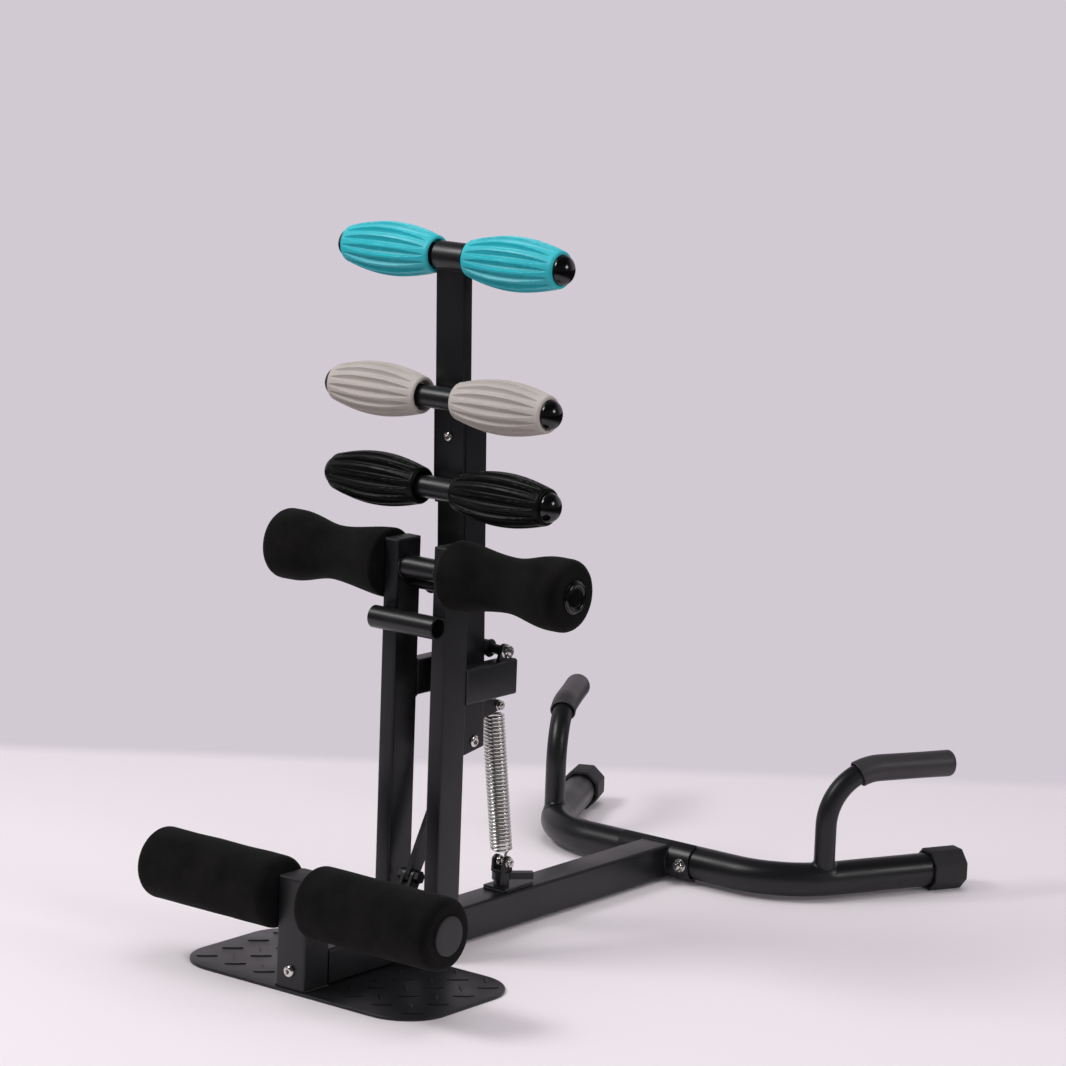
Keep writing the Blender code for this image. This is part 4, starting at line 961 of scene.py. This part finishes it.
for side, hand in hands:
    start, end, soft = 22.0 * mm, 204.5 * mm, 9.0 * mm
    outline = rounded((start, full), (start, full - soft), (start + soft, full))
    outline += [(start + soft + (end - start - 2 * soft) * k / 24, full) for k in range(1, 24)]
    outline += rounded((end, full), (end - soft, full), (end, full - soft))
    foam_roller(f"{hand}_ankle_foam_roller", f"ankle_foam_{hand}", outline, ankle_axis, side, 10.3 * mm)
    start, end, soft = 45.3 * mm, 206.0 * mm, 11.0 * mm
    length, near = end - start, knee_radius(0.0)
    outline = rounded((start, near - loose), (start, near - 5.0 * mm),
                      (start + 4.0 * mm, knee_radius(0.02) - loose))
    outline += [(start + length * share, knee_radius(share) - loose)
                for share in [0.04 + 0.88 * k / 40 for k in range(41)] if start + length * share < end - soft]
    outline += rounded((end, full), (end - soft, full), (end, full - soft))
    foam_roller(f"{hand}_knee_foam_roller", f"knee_foam_{hand}", outline, knee_axis, side, 12.8 * mm)

# %% [markdown]
# ## End caps of the leg rollers
# The ankle rollers end in flat discs with a worn edge. The knee rollers
# end in polished plugs with a raised ring. Both push into the axle with a
# short spigot.


# %% Ankle caps and knee plugs
def spigot(start, radius, brim, length=16.0 * mm):
    """The start of a cap's profile: the rod inside the axle and the step out to the brim."""
    return [(start - length, 0.0), (start - length, radius), (start, radius), (start, brim)]


for side, hand in hands:
    start, brim = 204.8 * mm, 21.5 * mm
    profile = spigot(start, 7.7 * mm, brim)
    profile += rounded((start + 2.6 * mm, brim), (start + 1.2 * mm, brim), (start + 2.6 * mm, 20.1 * mm), 4)
    profile += [(start + 2.5 * mm, 12.0 * mm), (start + 2.4 * mm, 0.0)]
    bm = bmesh.new()
    lathe(bm, profile, 64, along_x((0.0, ankle_axis.y, ankle_axis.z), side))
    finish(f"{hand}_ankle_roller_cap", bm, "base", cap_plastic, "black_rubber", f"ankle_cap_{hand}")
    start = 206.3 * mm
    profile = spigot(start, 10.2 * mm, 17.6 * mm)
    profile += [(start + 0.4 * mm, 18.0 * mm), (start + 1.2 * mm, 18.0 * mm), (start + 1.6 * mm, 17.4 * mm)]
    profile += [(start + 1.8 * mm + 2.4 * mm * sin(pi * k / 14), 14.5 * mm + 2.6 * mm * cos(pi * k / 14))
                for k in range(15)]
    profile += [(start + 1.5 * mm, 11.2 * mm), (start + 1.9 * mm, 6.0 * mm), (start + 2.0 * mm, 0.0)]
    bm = bmesh.new()
    lathe(bm, profile, 64, along_x((0.0, knee_axis.y, knee_axis.z), side))
    finish(f"{hand}_knee_roller_plug", bm, "base", polished_abs, "gloss_black", f"knee_plug_{hand}")

# %% [markdown]
# ## The fluted massage rollers
# Each roller is a barrel with sixteen leaf-shaped flutes scooped out of it,
# wide and deep at the middle and running to a point near both ends. A
# barrel is turned first, with a fine skin, and then each vertex is moved
# in by the depth that the scoop has there. Plain rims stay at both ends.

# %% Barrel with scooped flutes
roller_length = 123.0 * mm
rim_radius, crown_radius, flutes = 19.5 * mm, 29.6 * mm, 16
plain, scooped = 0.04, 0.92
flute_half, flute_depth = 4.7 * mm, 4.6 * mm


def barrel_radius(share):
    """The barrel's radius: share is 0 at its inner end and 1 at its outer end."""
    return rim_radius + (crown_radius - rim_radius) * sin(pi * min(1.0, max(0.0, share))) ** 0.85


def scoop_depth(share, angle):
    """How deep the flute is at this place on the barrel."""
    inner = (share - plain) / scooped
    if not 0.0 < inner < 1.0:
        return 0.0
    swell = sin(pi * inner)
    half_width = flute_half * swell ** 0.55
    pitch_angle = 2 * pi / flutes
    off = (angle / pitch_angle + 0.5) % 1.0 - 0.5
    reach = abs(off) * pitch_angle * barrel_radius(share) / half_width
    if reach >= 1.0:
        return 0.0
    return flute_depth * swell ** 0.5 * (1 - reach ** 2) ** 0.85


def fluted_roller(name, node, side, look, slot):
    """A barrel about the X axis, scooped and then put in its place."""
    centre = middle(node)
    low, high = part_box(node)
    bore, mouth, brim = 12.8 * mm, 16.0 * mm, 2.4 * mm
    start = min(abs(low.x), abs(high.x))
    end = start + roller_length
    at = lambda share: start + roller_length * share
    first, last = barrel_radius(0.03), barrel_radius(0.97)
    profile = [(at(0.08), bore), (at(0.08), mouth), (at(0.012), mouth)]
    profile += rounded((start, mouth + 0.2 * mm), (at(0.012), mouth), (start, mouth + 1.4 * mm), 3)[1:]
    profile += rounded((start, first), (start, first - brim), (at(0.03), first), 5)
    profile += [(at(share), barrel_radius(share)) for share in [plain + scooped * k / 84 for k in range(85)]]
    profile += rounded((end, last), (at(0.97), last), (end, last - brim), 5)
    profile += [(end, bore)]
    bm = bmesh.new()
    place = along_x((0.0, centre.y, centre.z), side)
    lathe(bm, profile, 320, closed=True)
    for v in bm.verts:
        share = (v.co.x - start) / roller_length
        out = Vector((0.0, v.co.y, v.co.z))
        if out.length > barrel_radius(share) - 1.0 * mm and out.length > mouth + 1.0 * mm:
            angle = out.yz.angle_signed(Vector((1.0, 0.0)))
            v.co -= out.normalized() * scoop_depth(share, angle)
    finish(name, bm, node, look, slot, node, smooth=50.0, place=place)


roller_looks = ((turquoise_eva, "cyan_plastic"), (pale_grey_eva, "grey_plastic"),
                (black_eva, "black_plastic"))
for row, (look, slot) in zip(row_names, roller_looks):
    for side, hand in hands:
        fluted_roller(f"{row}_{hand}_fluted_roller", f"{row}_roller_{hand}", side, look, slot)

# %% [markdown]
# ## Dome caps
# A polished dome closes each massage axle. Its thin brim is wider than the
# tube, so it also keeps the roller on. The dome is a quarter of an ellipse
# on the lathe.

# %% Domes
rim, height = 16.75 * mm, 11.0 * mm
for row in row_names:
    for side, hand in hands:
        centre = middle(f"{row}_axle")
        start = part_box(f"{row}_axle")[1].x + 0.6 * mm
        foot = start + 1.5 * mm
        profile = spigot(start, 10.2 * mm, rim - 0.3 * mm, 18.0 * mm)
        profile += [(start + 0.3 * mm, rim), (start + 1.1 * mm, rim), (foot, rim - 0.5 * mm)]
        profile += [(foot + height * sin(pi / 2 * k / 16), (rim - 0.7 * mm) * cos(pi / 2 * k / 16))
                    for k in range(16)]
        profile += [(foot + height, 0.0)]
        bm = bmesh.new()
        lathe(bm, profile, 64, along_x((0.0, centre.y, centre.z), side))
        finish(f"{row}_{hand}_dome_cap", bm, "mast", polished_abs, "gloss_black", f"{row}_dome_{hand}",
               smooth=40.0)

# %% [markdown]
# ## The mast
# The mast is a square tube below and a flat tube above, joined by a strap
# that is screwed down the front. A sleeve across the top carries the upper
# axle. Everything is drawn upright about the pivot and then leaned back by
# the mast's own 2.2 degrees.

# %% Lower mast
mast_half, tube_low, tube_high = 20.0 * mm, -109.5 * mm, 284.0 * mm
tube_front, tube_back = -46.2 * mm, -8.2 * mm
bush_half, bush_radius = 22.0 * mm, 9.0 * mm
pin_y, pin_z, lug_radius = 30.0 * mm, -73.0 * mm, 6.0 * mm
bm = bmesh.new()
tube = square_tube(bm, (-mast_half, tube_front, tube_low), (mast_half, tube_back, tube_high), "Z",
                   mouths=(-1, 1))
for v in tube:
    if v.co.z < -100.0 * mm:
        v.co.z += 0.12 * (v.co.y - tube_back)
lathe(bm, [(-bush_half, 0.0), (-bush_half, bush_radius), (bush_half, bush_radius), (bush_half, 0.0)], 48)
for side in (-1, 1):
    x = sorted((side * 6.0 * mm, side * 9.0 * mm))
    lug = slab(bm, (x[0], -9.2 * mm, -85.0 * mm), (x[1], pin_y, -57.0 * mm))
    for v in lug:
        if v.co.y > 0.0:
            v.co.z = pin_z + (lug_radius if v.co.z > pin_z else -lug_radius)
    lathe(bm, [(x[0], 0.0), (x[0], lug_radius), (x[1], lug_radius), (x[1], 0.0)], 40,
          Matrix.Translation((0.0, pin_y, pin_z)))
for side in (-1, 1):
    ring_bead(bm, (side * 20.2 * mm, 0.0, 0.0), (1, 0, 0), bush_radius + 0.3 * mm, size=2.0 * mm)
finish("square_lower_mast", bm, "mast", powder_coat, "black_coat", "lower_mast", place=mast_place)

# %% Upper mast, strap and sleeve
flat_front, flat_back, flat_low, flat_high = -50.5 * mm, -35.5 * mm, 284.3 * mm, 426.8 * mm
bm = bmesh.new()
square_tube(bm, (-mast_half, flat_front, flat_low), (mast_half, flat_back, flat_high), "Z", corner=2.5 * mm)
strap = slab(bm, (-19.5 * mm, flat_front, 168.2 * mm), (19.5 * mm, -46.5 * mm, 290.3 * mm))
soften(bm, edges_along(strap, "Z"), 0.8 * mm, 3)
sleeve_bore, sleeve_radius, soft = 12.8 * mm, 15.5 * mm, 0.4 * mm
profile = [(-mast_half, sleeve_bore), (-mast_half, sleeve_radius - soft), (-mast_half + soft, sleeve_radius),
           (mast_half - soft, sleeve_radius), (mast_half, sleeve_radius - soft), (mast_half, sleeve_bore)]
lathe(bm, profile, 56, Matrix.Translation((0.0, -43.0 * mm, 439.3 * mm)), closed=True)
for y in (flat_front - 0.1 * mm, flat_back + 0.1 * mm):
    cross_bead(bm, 18.0 * mm, y, flat_high - 1.0 * mm)
for side in (-1, 1):
    x, y = side * 19.7 * mm, flat_front - 0.1 * mm
    weld_bead(bm, (x, y, 286.0 * mm), (x, y, 171.0 * mm), size=1.6 * mm)
finish("flat_upper_mast", bm, "mast", powder_coat, "black_coat", "upper_mast", place=mast_place)

# %% [markdown]
# ## The rear bar with its handles
# One round tube, 40 mm across, is bent twice and welded to two upright
# handles of 25 mm tube. Blender's spin operator makes each bend, as a pipe
# bender would. Where a handle meets the bar, the weld was ground to a
# smooth flare: a short curved collar whose lower edge follows the bar.

# %% Rear bar
bend, bend_radius, straight, leg = radians(63.9), 110.0 * mm, 105.9 * mm, 165.0 * mm
up = Vector((0.0, 0.0, 1.0))


def outward(side, angle):
    """A level direction, this far round from sideways towards the rear."""
    return Vector((side * cos(angle), sin(angle), 0.0))


def off_bend(side, angle):
    """The direction from a bend's centre to the place that far round it."""
    return Vector((side * sin(angle), -cos(angle), 0.0))


way_out = {side: outward(side, bend) for side in (-1, 1)}
bend_centre = {side: Vector((side * straight, bar_y + bend_radius, bar_z)) for side in (-1, 1)}
bar_end = {side: bend_centre[side] + bend_radius * off_bend(side, bend) + way_out[side] * leg
           for side in (-1, 1)}
bm = bmesh.new()
pipe = TubeBender(bm, bar_end[-1], -way_out[-1], bar_size, 56)
pipe.run(leg)
pipe.bend(up, bend_radius, bend, 24)
pipe.run(2 * straight)
pipe.bend(up, bend_radius, bend, 24)
pipe.run(leg)
pipe.close()
print("rear bar ends off by mm:", round((pipe.place - bar_end[1]).length / mm, 3))

# %% Handles and their flared welds
handle_height, handle_bend, handle_turn = 155.5 * mm, 67.0 * mm, radians(56.2)
handle_run = 91.3 * mm
flare_bore, flare_width, flare_height, flare_reach = 12.3 * mm, 4.4 * mm, 5.5 * mm, 19.3 * mm
grip_way = {side: outward(side, radians(61.1)) for side in (-1, 1)}
handle_foot = {}
for side in (-1, 1):
    off_centre = off_bend(side, handle_turn)
    on_bar = bend_centre[side] + bend_radius * off_centre
    foot = handle_foot[side] = bend_centre[side] + (bend_radius + 4.0 * mm) * off_centre
    pipe = TubeBender(bm, foot, up, handle_size, 44)
    pipe.run(handle_height - handle_bend - bar_z)
    pipe.bend(up.cross(grip_way[side]), handle_bend, pi / 2, 24)
    pipe.run(handle_run)
    pipe.close()
    arc = [(flare_height * (1 - sin(pi / 2 * k / 6)), flare_bore + flare_width * (1 - cos(pi / 2 * k / 6)))
           for k in range(7)]
    stand = Matrix.Translation((foot.x, foot.y, 0.0)) @ Matrix.Rotation(-pi / 2, 4, "Y")
    collar = lathe(bm, arc + [(-1.5 * mm, arc[-1][1]), (-1.5 * mm, flare_bore)], 56, stand, closed=True)
    for v in collar:
        off = (v.co - on_bar).dot(off_centre)
        v.co -= off_centre * max(0.0, off - flare_reach)
        v.co.z += bar_z + sqrt((bar_size / 2) ** 2 - min(off, flare_reach) ** 2)
finish("bent_rear_bar", bm, "base", powder_coat, "black_coat", "rear_bar")

# %% [markdown]
# ## Grips and feet
# The grips are vinyl sleeves that were pushed on warm, so their open end
# reaches a little way into the bend. The feet are hard rubber caps with
# eight sides, which stop the bar from rolling. Their mouth is wider than
# the bar and looks dark.

# %% Grips
for side, hand in hands:
    foot = handle_foot[side]
    corner = Vector((foot.x, foot.y, handle_height)) + grip_way[side] * handle_bend
    back, front, outer = -handle_bend * radians(25.0), 92.2 * mm, 15.8 * mm
    tip, lip = front + 4.0 * mm, outer + 0.2 * mm
    profile = [(back + 6.0 * mm, 12.8 * mm), (back + 6.0 * mm, 13.7 * mm), (back, 14.2 * mm)]
    profile += rounded((back, lip), (back, outer - 0.8 * mm), (back + 1.2 * mm, lip), 3)
    profile += [(back + 3.0 * mm * k, outer) for k in range(1, 13)] + [(front * 0.6, outer - 0.3 * mm)]
    profile += rounded((tip, outer), (front - 2.0 * mm, outer), (tip, outer - 6.0 * mm), 7)
    profile += [(front + 4.6 * mm, 6.0 * mm), (front + 4.8 * mm, 0.0)]
    bm = bmesh.new()
    for v in lathe(bm, profile, 64):
        if v.co.x < 0.0:
            angle = v.co.x / handle_bend
            reach = handle_bend + v.co.z
            v.co.x = reach * sin(angle)
            v.co.z = reach * cos(angle) - handle_bend
    finish(f"{hand}_vinyl_hand_grip", bm, "base", dipped_vinyl, "black_rubber", f"hand_grip_{hand}",
           place=lying(corner, grip_way[side]))

# %% Octagonal feet
foot_length, foot_flats = 43.6 * mm, 48.0 * mm
mouth_radius, sunk_radius, sunk_to = 22.2 * mm, 20.9 * mm, 7.0 * mm
for side, hand in hands:
    bm = bmesh.new()
    stand = Matrix.Rotation(pi / 2, 4, "Y") @ Matrix.Rotation(pi / 8, 4, "Z")
    ring = bmesh.ops.create_circle(bm, cap_ends=True, segments=8, radius=foot_flats / 2 / cos(pi / 8),
                                   matrix=stand)["verts"]
    back = ring[0].link_faces[0]
    front = bmesh.ops.extrude_discrete_faces(bm, faces=[back])["faces"][0]
    bmesh.ops.translate(bm, vec=(foot_length, 0, 0), verts=front.verts)
    bmesh.ops.contextual_create(bm, geom=ring)
    soften(bm, edges_along(bm.verts, "X"), 1.6 * mm, 3)
    front_rim = [e for e in bm.edges if min(v.co.x for v in e.verts) > foot_length - hair]
    soften(bm, front_rim, 2.4 * mm, 3)
    mouth = min(bm.faces, key=lambda f: f.calc_center_median().x)
    bmesh.ops.inset_region(bm, faces=[mouth], thickness=1.4 * mm, use_even_offset=True)
    for v in mouth.verts:
        out = Vector((0.0, v.co.y, v.co.z)).normalized()
        v.co.y, v.co.z = out.y * mouth_radius, out.z * mouth_radius
    sunk = bmesh.ops.extrude_discrete_faces(bm, faces=[mouth])["faces"][0]
    for v in sunk.verts:
        out = Vector((0.0, v.co.y, v.co.z)).normalized()
        v.co = Vector((sunk_to, out.y * sunk_radius, out.z * sunk_radius))
    origin = bar_end[side] - way_out[side] * 38.0 * mm
    finish(f"{hand}_octagonal_foot", bm, "base", hard_rubber, "black_rubber", f"foot_cap_{hand}",
           smooth=25.0, place=lying(origin, way_out[side]))

# %% [markdown]
# ## The saddle and the bolts
# The saddle is a half shell of 2.5 mm plate that wraps the bar's front. A
# flat strip is spun about the bar's own axis through 160 degrees. Two M8
# bolts pull the bar into it, and their nuts face the front.

# %% Saddle
saddle_inner, saddle_outer, saddle_length, saddle_wrap = 20.4 * mm, 22.9 * mm, 106.0 * mm, radians(160)
bm = bmesh.new()
strip = bmesh.ops.create_grid(bm, x_segments=1, y_segments=1, size=0.5)["verts"]
angle = pi - saddle_wrap / 2
for v in strip:
    reach = saddle_inner if v.co.y < 0 else saddle_outer
    v.co = Vector((saddle_length * v.co.x, bar_y + reach * cos(angle), bar_z + reach * sin(angle)))
bmesh.ops.spin(bm, geom=bm.verts[:] + bm.edges[:] + bm.faces[:], cent=(0, bar_y, bar_z), axis=(1, 0, 0),
               dvec=(0, 0, 0), angle=saddle_wrap, steps=40, use_merge=False, use_duplicate=False)
bmesh.ops.recalc_face_normals(bm, faces=bm.faces)
sharp = [e for e in bm.edges if len(e.link_faces) == 2 and e.calc_face_angle(0.0) > radians(60)]
soften(bm, sharp, 0.6 * mm, 3)
finish("half_shell_saddle", bm, "base", powder_coat, "black_coat", "saddle", smooth=40.0)

# %% Bolts
m8, m6 = 8.0 * mm, 6.0 * mm
anchor_y, anchor_z = 266.05 * mm, 76.0 * mm
for side, hand in hands:
    through_bolt(f"{hand}_saddle_bolt_and_nut", f"saddle_bolt_{hand}", "base",
                 (side * 43.0 * mm, bar_y + 20.3 * mm, bar_z), (0, 1, 0), 43.4 * mm, m8, tip=3.5 * mm)
through_bolt("front_button_bolt", "front_bolt", "base",
             (0.0, upright_low.y - 0.3 * mm, 23.7 * mm), (0, -1, 0), 45.9 * mm, m8)
through_bolt("mast_pivot_bolt", "pivot_bolt", "base",
             mast_pivot + Vector((-42.3 * mm, 0, 0)), (-1, 0, 0), 84.6 * mm, m8, tip=2.5 * mm)
through_bolt("mast_foot_bolt", "foot_bolt", "mast",
             (20.3 * mm, -27.2 * mm, -101.0 * mm), (1, 0, 0), 40.6 * mm, m8,
             place=mast_place, head=0.31, nut_size=0.35, tip=0.6 * mm)
through_bolt("spring_top_bolt", "spring_bolt", "mast",
             (-9.3 * mm, pin_y, pin_z), (-1, 0, 0), 18.6 * mm, m6, place=mast_place, tip=2.0 * mm)
through_bolt("spring_anchor_bolt", "anchor_bolt", "base",
             (-9.3 * mm, anchor_y, anchor_z), (-1, 0, 0), 18.6 * mm, m6, tip=2.0 * mm)
bm = bmesh.new()
button_head(bm, 5.6 * mm, 3.2 * mm, 3.6 * mm, 1.8 * mm)
shank(bm, 0.2 * mm, -12.6 * mm, m6)
finish("strap_screw", bm, "mast", zinc_plate, "zinc", "mast_screw", smooth=28.0,
       place=mast_place @ lying((0.0, -50.8 * mm, 242.8 * mm), (0, -1, 0)))

# %% [markdown]
# ## The coil spring
# The spring is one length of 3.4 mm wire with a hook at both ends. A curve
# with a round bevel is the natural way to make wire: the route is written
# once and Blender gives it thickness. Then it is made a mesh. The upper
# hook is a long eye, so the bolt has room to travel in it as the mast
# leans back and the bolts move up to 3.5 mm apart.

# %% Spring wire
spring_low = Vector((0.0, anchor_y, anchor_z))
spring_top = mast_place @ Vector((0.0, pin_y, pin_z))
spring_length = (spring_top - spring_low).length
coil, hook, wire_size, side_step = 11.1 * mm, 4.9 * mm, 3.4 * mm, 3.5 * mm
low_reach, top_reach = 15.5 * mm, 11.3 * mm
turns, per_turn, start_turn = 36.75, 24, radians(45)
pitch = (spring_length - low_reach - top_reach) / turns


def hook_points(reach, extra=0.0, beyond=0.0, before=0.0):
    """A hook round the bolt at zero, up to where the coil starts at reach.

    extra is the part of a turn more that lies beside the hook. beyond and
    before stretch it to a long eye, on its far and on its near side.
    """
    steps = 20 + round(30 * extra)
    points = []
    for k in range(steps + 1):
        angle = radians(140 - 360 * extra + (230 + 360 * extra) * k / steps)
        aside = -side_step * (radians(370) - angle) / (2 * pi) * (1 if extra else 0)
        longer = 0.0 if abs(sin(angle)) < 0.01 else before if sin(angle) > 0 else -beyond
        points.append(Vector((aside, hook * cos(angle), hook * sin(angle) + longer)))
    points.append(Vector((0.5 * mm, coil * 0.72, reach * 0.52)))
    points.append(Vector((coil * 0.35, coil * 0.85, reach * 0.82)))
    return points


route = hook_points(low_reach, 0.6)
for k in range(round(turns * per_turn) + 1):
    angle = start_turn + 2 * pi * k / per_turn
    route.append(Vector((coil * sin(angle), coil * cos(angle), low_reach + pitch * k / per_turn)))
long_eye = hook_points(top_reach, beyond=3.5 * mm, before=1.6 * mm)
route += [Vector((-p.x, p.y, spring_length - p.z)) for p in reversed(long_eye)]
curve = bpy.data.curves.new("spring wire", "CURVE")
curve.dimensions = "3D"
curve.bevel_depth = wire_size / 2
curve.bevel_resolution = 4
curve.use_fill_caps = True
spline = curve.splines.new("POLY")
spline.points.add(len(route) - 1)
for point, spot in zip(spline.points, route):
    point.co = (*spot, 1.0)
wire = bpy.data.objects.new("spring wire", curve)
bm = bmesh.new()
bm.from_mesh(wire.to_mesh())
wire.to_mesh_clear()
bpy.data.objects.remove(wire)
lean = up.rotation_difference(spring_top - spring_low).to_matrix().to_4x4()
finish("zinc_coil_spring", bm, "spring_link", zinc_plate, "zinc", "spring", smooth=60.0,
       place=Matrix.Translation(spring_low) @ lean)
print("spring between its bolts in mm:", round(spring_length / mm, 1))

# %% [markdown]
# ## Parts that keep their solid
# Small brackets, bolts and the stay already have their right shape in the
# measured frame. They keep it and only get their real finish.

# %% Finish the parts that stay
finish_of = {"black_coat": powder_coat, "black_rubber": hard_rubber, "pale_rubber": pale_buffer,
             "zinc": zinc_plate}
kept = [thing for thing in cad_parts.values() if not thing.hide_render]
for thing in kept:
    slot = thing.material_slots[0]
    slot.material = finish_of[slot.material.name.split(".")[0]]
print("parts that keep their solid:", len(kept))

# %% [markdown]
# ## The visual box
# The box of everything that renders, leaving out the floor, is printed in millimetres.

# %% Print the visual box
low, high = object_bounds()
print("visual box in mm:", [round((b - a) / mm, 1) for a, b in zip(low, high)])
